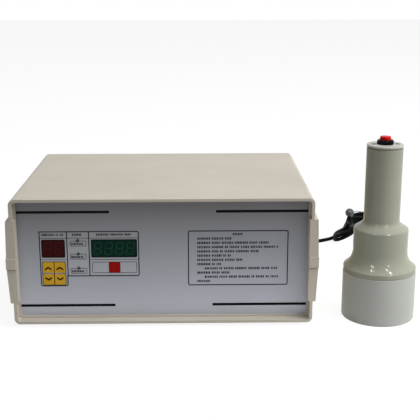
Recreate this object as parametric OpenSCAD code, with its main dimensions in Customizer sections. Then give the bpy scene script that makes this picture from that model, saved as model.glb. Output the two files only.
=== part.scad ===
// Induction cap sealer: a control unit, a hand-held sealing head and the lead that joins them.
// Millimetres. +Z is up, the front panel faces -Y and the head stands to the +X side.
// The origin is on the floor, under the middle of the footprint of the unit and the head.

/* [Case] */
// Width of the case across its front rim
case_w = 320; // [300:1:380]
// Depth of the case from rim to rim
case_d = 240; // [225:1:300]
// Height of the two shells together, without the feet
case_h = 138; // [130:1:170]
// Wall of the shells
case_wall = 3; // [2.5:0.1:3.5]
// Radius of the long outer edges
case_corner_r = 6; // [5:0.5:9]
// Height of the joint between the shells
seam_z = 74; // [66:1:80]
// Depth of the recess in front of each panel
panel_recess = 13; // [9:0.5:16]
// Thickness of the front and rear panels
panel_t = 2; // [1.5:0.1:3]
// Play of a panel in its groove
panel_fit = 0.3; // [0.1:0.1:0.5]
// Height and thickness of the lips that hold the panels
lip = 2; // [1.5:0.1:3]
// Height of the rubber feet under the case
foot_h = 4; // [3:0.5:10]
// Radius of the rubber feet
foot_r = 9; // [6:0.5:12]
// Distance of the feet from the case's sides, front and rear
foot_inset = 46; // [42:1:80]

/* [Side rails] */
// How far the rails stand out from the side walls at the shell joint
rail_proud = 5.5; // [4:0.1:8]
// How much less they stand out at the top end
rail_draft_top = 1.5; // [0:0.1:3]
// How much less they stand out at the bottom end
rail_draft_bottom = 2.4; // [0:0.1:3.5]
// Height of the rails' bottom edge above the case bottom
rail_bottom = 24; // [12:1:40]
// Distance from the rails' top edge to the case top
rail_top_gap = 23; // [16:1:30]
// Height of the raised band under the joint
band_h = 12; // [6:0.5:18]
// How far the band stands out at the ends of the rails
band_proud = 1.5; // [0.5:0.1:3]
// Air slots in each upper rail
vent_count = 13; // [5:1:16]
// Width of an air slot
vent_w = 3; // [2:0.5:4]
// Height of an air slot
vent_h = 18; // [10:1:20]
// Distance between air slots
vent_pitch = 9; // [7:0.5:9.5]

/* [Front panel] */
// Distance from the case side to the display group
group_inset = 28; // [24:1:36]
// Distance from the other case side to the note frame
note_inset = 26; // [22:1:34]
// Width of the note frame
note_w = 107.5; // [80:0.5:110]
// Height of the display group and of the note frame
group_h = 61; // [56:0.5:66]
// Width of the time section
time_w = 29.6; // [28:0.2:34]
// Width of the fault section
fault_w = 23.4; // [21:0.2:28]
// Width of the counter section
count_w = 53.4; // [51:0.2:58]
// Height of the counter and fault sections
count_h = 49.8; // [48:0.2:54]
// Width of the two-digit display
red_w = 24; // [20:0.2:25]
// Width of the four-digit display
green_w = 48; // [40:0.2:49]
// Height of both displays
digit_h = 19; // [15:0.2:20]
// Depth of the display modules and of the room behind the panel
digit_depth = 8; // [7:0.1:10]
// Width of a key
key_w = 11.4; // [9:0.1:11.6]
// Height of a key
key_h = 11.6; // [9:0.1:12]
// Distance between the keys across
key_pitch_x = 12.4; // [12.2:0.1:14]
// Distance between the keys up and down
key_pitch_z = 13.6; // [12.6:0.1:15]
// How far a key stands proud of the panel
key_proud = 0.7; // [0.5:0.1:2]
// Stroke of a key
key_stroke = 0.5; // [0.3:0.1:0.7]
// Width of the printed lines
line_w = 0.8; // [0.5:0.1:1.2]
// Height of the printed bars
bar_h = 2.4; // [1.5:0.1:4]
// Thickness of the print
print_t = 0.15; // [0.1:0.05:0.3]

/* [Sealing head] */
// Gap on the floor between the side rail and the head
head_gap = 31.5; // [10:0.5:80]
// Distance of the head's axis behind the front rim
head_back = 33; // [10:1:120]
// Radius of the coil cup
cup_r = 40; // [36:0.5:50]
// Height of the coil cup
cup_h = 52.5; // [46:0.5:64]
// Radius of the body above the cup
waist_r = 29.8; // [27:0.1:33]
// Height of the top of that body
waist_top = 97; // [94:0.5:110]
// Radius of the handle
handle_r = 19.4; // [18.8:0.1:22]
// Height of the handle's top edge
handle_top = 190.5; // [170:0.5:215]
// Thickness of the cap on the handle
cap_t = 2.5; // [2:0.1:4]
// Wall of the head's housings
head_wall = 3; // [2.5:0.1:3.5]
// Radius of the recess that locates a bottle cap
recess_r = 33; // [28:0.5:34]
// Depth of that recess
recess_depth = 8; // [5:0.5:12]
// Thickness of the sealing plate
plate_t = 3; // [2:0.5:5]
// Thickness of the sealing coil
coil_t = 4; // [3:0.5:6]
// Thickness of the ferrite above the coil
ferrite_t = 6; // [4:0.5:9]
// Turns of the sealing coil
coil_turns = 7; // [4:1:8]

/* [Push-button] */
// Radius of the red button
button_r = 5.8; // [5:0.1:6.2]
// Height of the red button above its collar
button_show = 3.3; // [3:0.1:5]
// Stroke of the red button
button_stroke = 2.5; // [1:0.1:2.8]
// Foot radius of the ribbed collar
collar_r = 8.9; // [8.4:0.1:9.2]
// Height of the ribbed collar
collar_h = 5; // [4:0.1:7]
// Ribs around the collar
rib_count = 24; // [12:1:36]

/* [Rear panel] */
// Size of the cooling fan
fan_size = 80; // [70:1:90]
// Depth of the cooling fan
fan_depth = 25; // [20:1:28]
// Distance of the fan's axis from the case centre
fan_x = -85; // [-95:1:-70]
// Distance of the power inlet from the case centre
inlet_x = 20; // [10:1:24]
// Distance of the power switch from the case centre
switch_x = 66; // [60:1:72]
// Height of the inlet and switch above the case bottom
socket_z = 44; // [36:1:60]
// Distance of the lead's gland from the case centre
gland_x = 116; // [104:1:122]
// Height of the lead's gland above the case bottom
gland_z = 34; // [24:1:50]

/* [Lead] */
// Diameter of the lead
lead_d = 5; // [4:0.1:6]

/* [Hidden] */
$fn = 64;

// Colours
beige = "#cbc4b8";
head_beige = "#a9a897";
cup_grey = "#b4b6b0";
panel_grey = "#9a9ca2";
black = "#1b1b1c";
steel = "#b9bcc0";
board_green = "#2f6b45";

// Overshoot of the cutting solids, and the play between pieces that are only set together
cut = 1;
fit = 0.2;
// Radial clearance of the running fits
run_fit = 0.05;

// Case
inner_w = case_w - 2 * case_wall;
inner_h = case_h - 2 * case_wall;
inner_r = case_corner_r - case_wall;
panel_w = inner_w - 2 * panel_fit;
panel_h = inner_h - 2 * panel_fit;
front_face = panel_recess;
front_back = panel_recess + panel_t;
rear_face = case_d - panel_recess;
rear_back = rear_face - panel_t;
mid_z = case_h / 2;
rail_top = case_h - rail_top_gap;
rail_cover = case_wall + lip;
rail_step = 0.3;
post_r = 6;
post_inset = 22;
post_y = 34;
screw_seat_z = 40;
screw_r = 1.9;
screw_head_r = 3.8;
screw_head_h = 2.8;
screw_reach = 18;

// Head and row origin
head_x = case_w / 2 + rail_proud + head_gap + cup_r;
head_y = head_back;
low_x = -case_w / 2 - rail_proud;
high_x = head_x + cup_r;
low_y = min(-band_proud, head_y - cup_r);
high_y = max(case_d + band_proud, head_y + cup_r);
case_x = -(low_x + high_x) / 2;
case_y = -(low_y + high_y) / 2;

// Front panel layout, from the left end of the display group and the panel's middle height
group_x = -case_w / 2 + group_inset;
group_top = mid_z + group_h / 2;
fault_x = group_x + time_w;
count_x = fault_x + fault_w;
group_end = count_x + count_w;
note_x = case_w / 2 - note_inset - note_w;
digit_z = mid_z + 11.9;
red_x = group_x + time_w / 2;
green_x = count_x + count_w / 2;
key_block_z = mid_z - 15.9;
clear_z = mid_z - 9.4;
clear_frame_w = count_w - 5.5;
clear_frame_h = key_h + 1;
fault_mid = fault_x + fault_w / 2;
fault_z = [mid_z + 20.6, mid_z + 5.9, mid_z - 10.1];
fault_box_w = 17.3;
fault_box_h = 6;
fault_r = 1.5;
header_z = group_top - 7;
divider_z = mid_z - 0.4;
bar_end = case_w / 2 - rail_cover - 0.5;
title_half = 56.6;
foot_title_half = 52.7;
top_bar_z = case_h - 16.2;
low_bar_z = 16.6;

// Display board
board_t = 1.6;
board_face = front_face + digit_depth;
board_x0 = group_x - 8;
board_x1 = group_end + 9;
board_z0 = mid_z - group_h / 2 - 6;
board_z1 = group_top + 5;
board_inset = 4;
standoff_r = 2.6;
small_screw_r = 1.4;
small_head_r = 2.6;
small_head_h = 1.8;
switch_w = 10;
switch_gap = 0.8;
cap_depth = 3.9;
key_back = front_face - key_proud + cap_depth;
switch_face = key_back + switch_gap;
stem_r = 1.9;
stem_l = 2.4;

// Main board and what stands on it
main_w = 200;
main_d = 130;
main_x = -30;
main_y = case_d / 2 - 12;
main_z = case_wall + 8;
main_top = main_z + board_t;
main_inset = 6;
boss_r = 4;
main_left = main_x - main_w / 2;
main_right = main_x + main_w / 2;
main_front = main_y - main_d / 2;
main_rear = main_y + main_d / 2;
sink_w = 60;
sink_h = 50;
sink_base = 6;
sink_fin = 36;
sink_fins = 9;
fin_t = 2;
screw_room = 2;
sink_x = main_left + main_inset + small_head_r + screw_room + sink_w / 2;
sink_y = main_rear - sink_base - sink_fin - 2.5 * screw_room;
transistor_w = 16;
transistor_t = 5;
transistor_h = 21;
transistor_z = 8;
transistor_gap = 30;
leg_pitch = 5.4;
leg_w = 1.2;
bridge_w = 28;
bridge_h = 10;
bridge_x = main_x + 4;
bridge_y = main_rear - 25;
filter_r = 15;
filter_h = 42;
filter_pitch = 36;
filter_inset = 28;
crimp_z = 6.5;
crimp_w = 1.5;
crimp_d = 0.8;
film_w = 48;
film_d = 24;
film_h = 34;
film_x = main_right - film_w - 32;
film_y = main_front + 17;
core_w = 56;
core_d = 20;
core_leg = 17.5;
core_window = 10.5;
core_yoke = 10;
core_x = main_right - core_w / 2 - 8;
core_y = main_rear - core_d / 2 - 31;
winding_build = 9;
control_w = 57;
control_d = 22;
control_h = 48;
control_leg = 19;
control_window = 9.5;
control_yoke = 9.5;
control_foot = 1.5;
control_build = 8;
control_tab = 5;
control_x = case_w / 2 - 48;
control_y = case_d / 2 - 25;
control_z = case_wall + 4;
control_hole_x = 33;

// Fan
fan_front = rear_back - fan_depth;
fan_bore = fan_size / 2 - 2;
fan_tip = fan_bore - 1.2;
fan_hub_r = 16;
fan_hole = fan_size / 2 - 4.25;
fan_web = 3;
fan_shaft_r = 1.5;
fan_blades = 7;
fan_z = mid_z;

// Head
shoulder_z = cup_h + 5;
shoulder_end = shoulder_z + 19.5;
cup_wall = head_wall + 0.5;
cup_inner = cup_r - cup_wall;
spigot_h = 6;
edge_r = 1.5;
relief_z = (shoulder_end + waist_top) / 2 - 2;
relief_hole = 5;
relief_l = 34;
cap_top = handle_top + cap_t;
barrel_r = 7.4;
cap_screw_x = (barrel_r + handle_r - head_wall / 2) / 2 + 0.1;
cap_boss_r = handle_r - head_wall - cap_screw_x + 0.6;
cap_boss_l = 20;
button_floor = cap_top - 9;
button_bottom = cap_top + collar_h - button_stroke - 0.5;
collar_bore = button_r + 0.35;
button_stem_r = 2;
spring_turns = 4;
spring_wire = 0.35;

// Route of the lead, from the case's gland to the head's strain relief
gland_reach = 8;
relief_case_l = 30;
lead_r = lead_d / 2;
gland_end = rear_face + gland_reach + relief_case_l;
case_run = [
    [case_x + gland_x, case_y + gland_end, foot_h + gland_z],
    [case_x + gland_x, case_y + gland_end + 11.5, foot_h + gland_z],
    [62, 172, 34], [66.5, 183, 26], [74, 190.5, 16], [84, 193.5, 7.5], [96, 192, 3.2],
    [108, 188, 2.5], [121, 184, 2.5], [135, 182.5, 2.5], [149, 186, 2.5], [162, 192.5, 2.5],
    [172, 200, 2.5], [178.2, 208.9, 2.5], [184.6, 218.4, 2.6], [190.3, 227.6, 2.8],
    [195.1, 236.5, 3.1], [198.2, 244.3, 3.5]];
head_run = [
    [203, 243, 12.7], [203.4, 238.8, 13.2], [205.3, 232.1, 13.7], [207.9, 225.2, 12.5],
    [209.9, 218.4, 9.5], [210.5, 212, 6.3], [209.5, 204, 3.6], [208.5, 194, 2.6], [207.3, 182, 2.5],
    [206.3, 168, 2.5], [205.3, 154, 2.5], [205.5, 138, 2.5], [206.5, 120, 2.5],
    [206, 102, 2.5], [204, 84, 2.5], [201, 66, 3.2], [197.5, 50.5, 9], [193.5, 38.5, 21],
    [189.8, 29, 37], [186.5, 20.5, 53.5], [183.8, 11.5, 69], [182, 1.5, 80],
    [case_x + head_x, case_y + head_y + waist_r + relief_l + 10, relief_z],
    [case_x + head_x, case_y + head_y + waist_r + relief_l, relief_z]];

// Hank of the lead: its near folds, its direction on the floor, its tied bundle and its far folds
hank_near = [188, 187];
hank_angle = 75;
hank_neck = 58;
hank_waist = 22;
hank_tail = 48;
hank_tilt = 28;
hank_near_r = 15;
hank_near_z = 14.4;
hank_far_r = 20;
hank_bend = 28;
bundle_half = 1.5 * lead_d;
bundle_h = 2.84 * lead_d;
tie_w = 5;
tie_t = 0.8;
tie_foot_r = 6.5;
tie_neck_r = 4.5;
tie_neck_l = 10;
tie_ball_r = 6.4;
bundle_mid = tie_t + fit + bundle_h / 2;
hank_dip = atan2(hank_near_z - bundle_mid, hank_neck);

// Helpers

module on_case() translate([case_x, case_y, foot_h]) children();

module on_head() translate([case_x + head_x, case_y + head_y, 0]) children();

// Extrudes an outline drawn in X and Z along +Y
module along_y(y0, length) translate([0, y0 + length, 0]) rotate([90, 0, 0])
    linear_extrude(length) children();

// A round bar along +Y
module bar_y(r, length) rotate([-90, 0, 0]) cylinder(r = r, h = length);

// A rectangle with round corners that stands on the X axis
module rounded2d(w, h, r) {
    translate([-w / 2 + r, 0]) square([w - 2 * r, h]);
    translate([-w / 2, r]) square([w, h - 2 * r]);
    for (sx = [-1, 1], z = [r, h - r])
        translate([sx * (w / 2 - r), z]) circle(r = r);
}

module block_y(x, z, w, h, y0, length) translate([x - w / 2, y0, z - h / 2]) cube([w, length, h]);

function curve(p0, p1, p2, p3, n) = [for (i = [0 : n])
    let (t = i / n, s = 1 - t)
    s * s * s * p0 + 3 * s * s * t * p1 + 3 * s * t * t * p2 + t * t * t * p3];

function arc(c, r, a0, a1, n) = [for (i = [0 : n])
    let (a = a0 + (a1 - a0) * i / n) c + r * [cos(a), sin(a)]];

function unit(v) = v / norm(v);

// Smooth curve through a list of points, with a number of steps between neighbours
function through(p, steps) = [for (i = [0 : len(p) - 2], k = [0 : steps - 1])
        let (a = p[max(i - 1, 0)], b = p[i], c = p[i + 1], d = p[min(i + 2, len(p) - 1)], t = k / steps)
        0.5 * (2 * b + (c - a) * t + (2 * a - 5 * b + 4 * c - d) * t * t
            + (3 * b - a - 3 * c + d) * t * t * t),
    p[len(p) - 1]];

// Round tube along a list of points
module tube(p, r, sides) {
    n = len(p);
    function way(i) = unit(p[min(i + 1, n - 1)] - p[max(i - 1, 0)]);
    function side(i) = unit(cross(way(i), [0, 0, 1]));
    polyhedron(
        points = [for (i = [0 : n - 1], k = [0 : sides - 1])
            let (a = 360 * k / sides, u = side(i), v = cross(u, way(i)))
            p[i] + r * (cos(a) * u + sin(a) * v)],
        faces = concat(
            [[for (k = [0 : sides - 1]) k]],
            [for (i = [0 : n - 2], k = [0 : sides - 1])
                let (m = (k + 1) % sides)
                [i * sides + k, (i + 1) * sides + k, (i + 1) * sides + m, i * sides + m]],
            [[for (k = [sides - 1 : -1 : 0]) (n - 1) * sides + k]]));
}

// Case shells

module case_section() difference() {
    rounded2d(case_w, case_h, case_corner_r);
    translate([0, case_wall]) rounded2d(inner_w, inner_h, inner_r);
}

module lip_section() difference() {
    translate([0, case_wall / 2]) rounded2d(inner_w + case_wall, inner_h + case_wall, case_corner_r);
    translate([0, case_wall + lip]) rounded2d(inner_w - 2 * lip, inner_h - 2 * lip, inner_r);
}

module case_tube() {
    along_y(0, case_d) case_section();
    groove = panel_t + 2 * panel_fit;
    for (y = [front_face - lip, front_face - panel_fit + groove])
        along_y(y, lip) lip_section();
    for (y = [rear_face, rear_face + panel_fit - groove - lip])
        along_y(y, lip) lip_section();
}

// A stretch of the two side rails between two heights, with its own reach at each height
module rails(z0, x0, z1, x1, ends) for (s = [0, 1]) mirror([s, 0, 0]) {
    along_y(-ends, case_d + 2 * ends) polygon([
        [case_w / 2 - case_wall / 2, z0], [case_w / 2 + x0, z0],
        [case_w / 2 + x1, z1], [case_w / 2 - case_wall / 2, z1]]);
    for (y = [-ends, case_d - panel_recess])
        along_y(y, panel_recess + ends) polygon([
            [case_w / 2 - rail_cover, z0], [case_w / 2, z0],
            [case_w / 2, z1], [case_w / 2 - rail_cover, z1]]);
}

module at_posts() for (x = [-1, 1], y = [post_y, case_d - post_y])
    translate([x * (case_w / 2 - post_inset), y, 0]) children();

module at_main_bosses() for (x = [-1, 1], y = [-1, 1])
    translate([main_x + x * (main_w / 2 - main_inset), main_y + y * (main_d / 2 - main_inset), 0])
        children();

module at_control_holes() for (x = [-1, 1])
    translate([control_x + x * control_hole_x, control_y, 0]) children();

module lower_shell() color(beige) on_case() difference() {
    union() {
        intersection() {
            case_tube();
            translate([-case_w, -cut, -cut]) cube([2 * case_w, case_d + 2 * cut, seam_z + cut]);
        }
        rails(rail_bottom, rail_proud - rail_draft_bottom, seam_z - band_h, rail_proud - rail_step, 0);
        rails(seam_z - band_h, rail_proud, seam_z, rail_proud, band_proud);
        at_posts() translate([0, 0, case_wall / 2]) cylinder(r = post_r, h = seam_z - case_wall / 2);
        at_main_bosses() translate([0, 0, case_wall / 2])
            cylinder(r = boss_r, h = main_z - case_wall / 2);
        at_control_holes() translate([0, 0, case_wall / 2])
            cylinder(r = boss_r, h = control_z - case_wall / 2);
    }
    at_posts() {
        translate([0, 0, -cut]) cylinder(r = screw_head_r + 0.4, h = screw_seat_z + cut);
        translate([0, 0, screw_seat_z - cut]) cylinder(r = screw_r + 0.3, h = seam_z);
    }
    at_main_bosses() translate([0, 0, case_wall])
        cylinder(r = small_screw_r + run_fit, h = main_z);
    at_control_holes() translate([0, 0, case_wall / 2])
        cylinder(r = small_screw_r + run_fit, h = control_z);
}

module upper_shell() color(beige) on_case() difference() {
    union() {
        intersection() {
            case_tube();
            translate([-case_w, -cut, seam_z]) cube([2 * case_w, case_d + 2 * cut, case_h]);
        }
        rails(seam_z, rail_proud - rail_step, rail_top, rail_proud - rail_draft_top, 0);
        at_posts() translate([0, 0, seam_z])
            cylinder(r = post_r, h = case_h - case_wall / 2 - seam_z);
    }
    at_posts() translate([0, 0, seam_z - cut])
        cylinder(r = screw_r + run_fit, h = screw_reach + 4);
    for (s = [-1, 1], i = [0 : vent_count - 1])
        translate([s * case_w / 2, case_d / 2 + (i - (vent_count - 1) / 2) * vent_pitch,
            (seam_z + rail_top) / 2])
            cube([4 * (rail_proud + case_wall), vent_w, vent_h], center = true);
}

module rubber_feet() color(black) translate([case_x, case_y, 0])
    for (x = [-1, 1], y = [foot_inset, case_d - foot_inset])
        translate([x * (case_w / 2 - foot_inset), y, 0])
            cylinder(r1 = foot_r - 1, r2 = foot_r, h = foot_h);

module case_screws() color(steel) on_case() at_posts() difference() {
    union() {
        translate([0, 0, screw_seat_z - screw_head_h]) cylinder(r = screw_head_r, h = screw_head_h);
        translate([0, 0, screw_seat_z]) cylinder(r = screw_r, h = seam_z - screw_seat_z + screw_reach);
    }
    translate([0, 0, screw_seat_z - screw_head_h - cut])
        for (a = [0, 90]) rotate(a) translate([-2.2, -0.5, 0]) cube([4.4, 1, cut + 1.4]);
}

// Front panel

// Places of the four time keys and then of the clear key
key_places = [
    [red_x - key_pitch_x / 2, key_block_z + key_pitch_z / 2],
    [red_x + key_pitch_x / 2, key_block_z + key_pitch_z / 2],
    [red_x - key_pitch_x / 2, key_block_z - key_pitch_z / 2],
    [red_x + key_pitch_x / 2, key_block_z - key_pitch_z / 2],
    [green_x, clear_z]];

module panel_plate() translate([0, case_wall + panel_fit]) rounded2d(panel_w, panel_h, inner_r);

module window2d(x, z, w, h) translate([x - w / 2, z - h / 2]) square([w, h]);

module front_panel() color(panel_grey) on_case() along_y(front_face, panel_t) difference() {
    panel_plate();
    window2d(red_x, digit_z, red_w + 2 * fit, digit_h + 2 * fit);
    window2d(green_x, digit_z, green_w + 2 * fit, digit_h + 2 * fit);
    window2d(red_x, key_block_z, key_pitch_x + key_w + 4 * fit, key_pitch_z + key_h + 4 * fit);
    window2d(green_x, clear_z, key_w + 4 * fit, key_h + 4 * fit);
    for (z = fault_z) translate([fault_mid, z]) circle(r = fault_r + fit);
}

module frame2d(x0, z0, x1, z1) difference() {
    translate([x0 - line_w / 2, z0 - line_w / 2]) square([x1 - x0 + line_w, z1 - z0 + line_w]);
    translate([x0 + line_w / 2, z0 + line_w / 2]) square([x1 - x0 - line_w, z1 - z0 - line_w]);
}

module line2d(x0, x1, z) translate([x0, z - line_w / 2]) square([x1 - x0, line_w]);

module panel_print() color(black) on_case() along_y(front_face - print_t, print_t) {
    for (s = [0, 1]) mirror([s, 0]) {
        translate([title_half, top_bar_z - bar_h / 2]) square([bar_end - title_half, bar_h]);
        translate([foot_title_half, low_bar_z - bar_h / 2]) square([bar_end - foot_title_half, bar_h]);
    }
    frame2d(group_x, group_top - group_h, fault_x, group_top);
    frame2d(fault_x, group_top - count_h, count_x, group_top);
    frame2d(count_x, group_top - count_h, group_end, group_top);
    line2d(group_x, group_end, header_z);
    line2d(group_x, fault_x, divider_z);
    line2d(count_x, group_end, divider_z);
    for (z = fault_z) difference() {
        translate([fault_mid, z - fault_box_h / 2])
            frame2d(-fault_box_w / 2, -fault_box_h / 2, fault_box_w / 2, fault_box_h / 2);
        translate([fault_mid, z]) circle(r = fault_r + 2 * fit);
    }
    difference() {
        half = clear_frame_w / 2;
        frame2d(green_x - half, clear_z - clear_frame_h / 2, green_x + half, clear_z + clear_frame_h / 2);
        window2d(green_x, clear_z, key_w + 8 * fit, 2 * clear_frame_h);
    }
    frame2d(note_x, mid_z - group_h / 2, note_x + note_w, group_top);
}

module display(x, w) on_case() block_y(x, digit_z, w, digit_h, front_face - fit, digit_depth + fit);

module red_display() color("#3a0f12") display(red_x, red_w);

module green_display() color("#0e2a22") display(green_x, green_w);

module fault_lights() color("#7a1a1a") on_case() for (z = fault_z) translate([fault_mid, 0, z]) {
    translate([0, front_face - 0.2, 0]) bar_y(fault_r, digit_depth + 0.2);
    translate([0, front_face - 0.2, 0]) intersection() {
        sphere(r = fault_r);
        translate([-fault_r, -fault_r, -fault_r]) cube([2 * fault_r, fault_r + 0.1, 2 * fault_r]);
    }
}

module at_standoffs() for (x = [board_x0 + board_inset, board_x1 - board_inset],
    z = [board_z0 + board_inset, board_z1 - board_inset])
    translate([x, 0, z]) children();

module display_board() color(board_green) on_case() difference() {
    translate([board_x0, board_face, board_z0]) cube([board_x1 - board_x0, board_t, board_z1 - board_z0]);
    at_standoffs() translate([0, board_face - cut, 0]) bar_y(small_screw_r + fit, board_t + 2 * cut);
}

module board_standoffs() color(steel) on_case() at_standoffs() difference() {
    translate([0, front_back, 0]) bar_y(standoff_r, board_face - front_back);
    translate([0, front_back + 0.5, 0]) bar_y(small_screw_r + run_fit, board_face);
}

// A small screw whose head lies on the plane z = 0 and whose shank points down
module small_screw(length) difference() {
    union() {
        cylinder(r = small_head_r, h = small_head_h);
        translate([0, 0, -length]) cylinder(r = small_screw_r, h = length + small_head_h / 2);
    }
    for (a = [0, 90]) rotate(a) translate([-1.6, -0.35, small_head_h / 2])
        cube([3.2, 0.7, small_head_h]);
}

module board_screws() color(steel) on_case() at_standoffs()
    translate([0, board_face + board_t, 0]) rotate([-90, 0, 0])
        small_screw(board_t + board_face - front_back - 1.2);

module key_switches() color(black) on_case() for (p = key_places) translate([p[0], 0, p[1]])
    difference() {
        block_y(0, 0, switch_w, switch_w, switch_face, board_face - switch_face);
        translate([0, switch_face - cut, 0]) bar_y(stem_r + run_fit, stem_l + key_stroke + cut - 0.2);
    }

module key(i) on_case() translate([key_places[i][0], 0, key_places[i][1]]) {
    block_y(0, 0, key_w, key_h, front_face - key_proud, cap_depth);
    translate([0, key_back - 0.5, 0]) bar_y(stem_r, stem_l + 0.5);
}

module up_key_left() color("#e0a21c") key(0);

module up_key_right() color("#e0a21c") key(1);

module down_key_left() color("#e0a21c") key(2);

module down_key_right() color("#e0a21c") key(3);

module clear_key() color("#b81c1c") key(4);

// Inside the case

module main_board() color(board_green) on_case() difference() {
    translate([main_x - main_w / 2, main_y - main_d / 2, main_z]) cube([main_w, main_d, board_t]);
    at_main_bosses() translate([0, 0, main_z - cut])
        cylinder(r = small_screw_r + fit, h = board_t + 2 * cut);
}

module inner_screws() color(steel) on_case() {
    at_main_bosses() translate([0, 0, main_top]) small_screw(main_top - case_wall - 1);
    at_control_holes() translate([0, 0, control_z + control_foot]) small_screw(control_foot + 4.5);
}

module heat_sink() color(steel) on_case() translate([sink_x, sink_y, main_top]) {
    translate([-sink_w / 2, 0, 0]) cube([sink_w, sink_base, sink_h]);
    for (i = [0 : sink_fins - 1])
        translate([-sink_w / 2 + i * (sink_w - fin_t) / (sink_fins - 1), sink_base / 2, 0])
            cube([fin_t, sink_fin + sink_base / 2, sink_h]);
}

module power_transistors() color(black) on_case() for (x = [-1, 1])
    translate([sink_x + x * transistor_gap / 2, sink_y, main_top]) difference() {
        union() {
            translate([-transistor_w / 2, -transistor_t, transistor_z])
                cube([transistor_w, transistor_t, transistor_h]);
            for (leg = [-1, 0, 1]) translate([leg * leg_pitch - leg_w / 2, -0.6 * transistor_t, 0])
                cube([leg_w, leg_w, transistor_z + cut]);
        }
        translate([0, -transistor_t - cut, transistor_z + 0.7 * transistor_h])
            bar_y(screw_r, transistor_t + 2 * cut);
    }

module bridge_rectifier() color(black) on_case() translate([bridge_x, bridge_y, main_top]) difference() {
    translate([-bridge_w / 2, -bridge_w / 2, 0]) cube([bridge_w, bridge_w, bridge_h]);
    translate([0, 0, -cut]) cylinder(r = screw_r + 2 * fit, h = bridge_h + 2 * cut);
    translate([bridge_w / 2, bridge_w / 2, -cut]) rotate(45)
        translate([-bridge_w / 7, -bridge_w / 7, 0]) cube([bridge_w, bridge_w, bridge_h + 2 * cut]);
}

module filter_capacitors() color("#27364d") on_case() for (i = [0, 1])
    translate([main_left + filter_inset + i * filter_pitch, main_front + filter_inset, main_top])
        rotate_extrude() polygon([
            [0, 0], [filter_r, 0], [filter_r, crimp_z - crimp_w], [filter_r - crimp_d, crimp_z],
            [filter_r, crimp_z + crimp_w], [filter_r, filter_h - crimp_d],
            [filter_r - crimp_d, filter_h], [0, filter_h]]);

module resonant_capacitor() color("#c9b27a") on_case() translate([film_x, film_y, main_top])
    cube([film_w, film_d, film_h]);

module output_core() color("#3c3c40") on_case() translate([core_x, core_y, main_top])
    difference() {
        translate([-core_w / 2, -core_d / 2, 0]) cube([core_w, core_d, core_w]);
        for (s = [-1, 1])
            translate([s * (core_leg + core_window) / 2 - core_window / 2, -core_d, core_yoke])
                cube([core_window, 2 * core_d, core_w - 2 * core_yoke]);
    }

module output_winding() color("#b9803a") on_case()
    translate([core_x, core_y, main_top + core_yoke + fit]) difference() {
        half = core_leg / 2 + core_window - 2 * fit;
        translate([-half, -core_d / 2 - winding_build, 0])
            cube([2 * half, core_d + 2 * winding_build, core_w - 2 * core_yoke - 2 * fit]);
        translate([-core_leg / 2 - fit, -core_d / 2 - fit, -cut])
            cube([core_leg + 2 * fit, core_d + 2 * fit, core_w]);
    }

module control_core() color("#4a4a4e") on_case() difference() {
    translate([control_x, control_y, control_z]) difference() {
        union() {
            translate([-control_w / 2, -control_d / 2, 0]) cube([control_w, control_d, control_h]);
            translate([-control_hole_x - control_tab, -control_d / 2, 0])
                cube([2 * (control_hole_x + control_tab), control_d, control_foot]);
        }
        for (s = [-1, 1])
            translate([s * (control_leg + control_window) / 2 - control_window / 2, -control_d, control_yoke])
                cube([control_window, 2 * control_d, control_h - 2 * control_yoke]);
    }
    at_control_holes() translate([0, 0, control_z - cut])
        cylinder(r = small_screw_r + fit, h = control_foot + 2 * cut);
}

module control_winding() color("#d8d2b8") on_case()
    translate([control_x, control_y, control_z + control_yoke + fit]) difference() {
        half = control_leg / 2 + control_window - 2 * fit;
        translate([-half, -control_d / 2 - control_build, 0])
            cube([2 * half, control_d + 2 * control_build, control_h - 2 * control_yoke - 2 * fit]);
        translate([-control_leg / 2 - fit, -control_d / 2 - fit, -cut])
            cube([control_leg + 2 * fit, control_d + 2 * fit, control_h]);
    }

// Rear panel

inlet_w = 27;
inlet_h = 20;
inlet_depth = 24;
inlet_flange = 2.5;
socket_w = 24.2;
socket_h = 16.4;
socket_depth = 17;
pin_w = 2;
pin_h = 4;
pin_l = 11;
pin_places = [[-7, -2], [7, -2], [0, 2]];
switch_w_out = 13.6;
switch_h_out = 23;
switch_depth = 15;
rocker_w = 9.8;
rocker_r = 9.6;
rocker_tilt = 12;
rocker_axis = rear_face - 1.5;
rocker_pin_r = 1.2;
gland_hole = 6.1;

module rear_panel() color(panel_grey) on_case() along_y(rear_back, panel_t) difference() {
    panel_plate();
    translate([fan_x, fan_z]) circle(r = fan_bore);
    for (x = [-1, 1], z = [-1, 1])
        translate([fan_x + x * fan_hole, fan_z + z * fan_hole]) circle(r = 2.2);
    window2d(inlet_x, socket_z, inlet_w + 2 * fit, inlet_h + 2 * fit);
    window2d(switch_x, socket_z, switch_w_out + 2 * fit, switch_h_out + 2 * fit);
    translate([gland_x, gland_z]) circle(r = gland_hole);
}

module at_fan() on_case() translate([fan_x, fan_front, fan_z]) rotate([-90, 0, 0]) children();

module fan_frame() color(black) at_fan() difference() {
    union() {
        difference() {
            translate([-fan_size / 2, -fan_size / 2, 0]) cube([fan_size, fan_size, fan_depth]);
            translate([0, 0, -cut]) cylinder(r = fan_bore, h = fan_depth + 2 * cut);
        }
        cylinder(r = fan_hub_r, h = fan_web);
        cylinder(r = 4, h = fan_web + 7);
        for (a = [0 : 90 : 270]) rotate(a + 30) translate([0, -2, 0]) cube([fan_bore + cut, 4, fan_web]);
    }
    translate([0, 0, -cut]) cylinder(r = fan_shaft_r + run_fit, h = fan_depth);
    for (x = [-1, 1], y = [-1, 1])
        translate([x * fan_hole, y * fan_hole, -cut]) cylinder(r = 2.1, h = fan_depth + 2 * cut);
}

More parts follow.
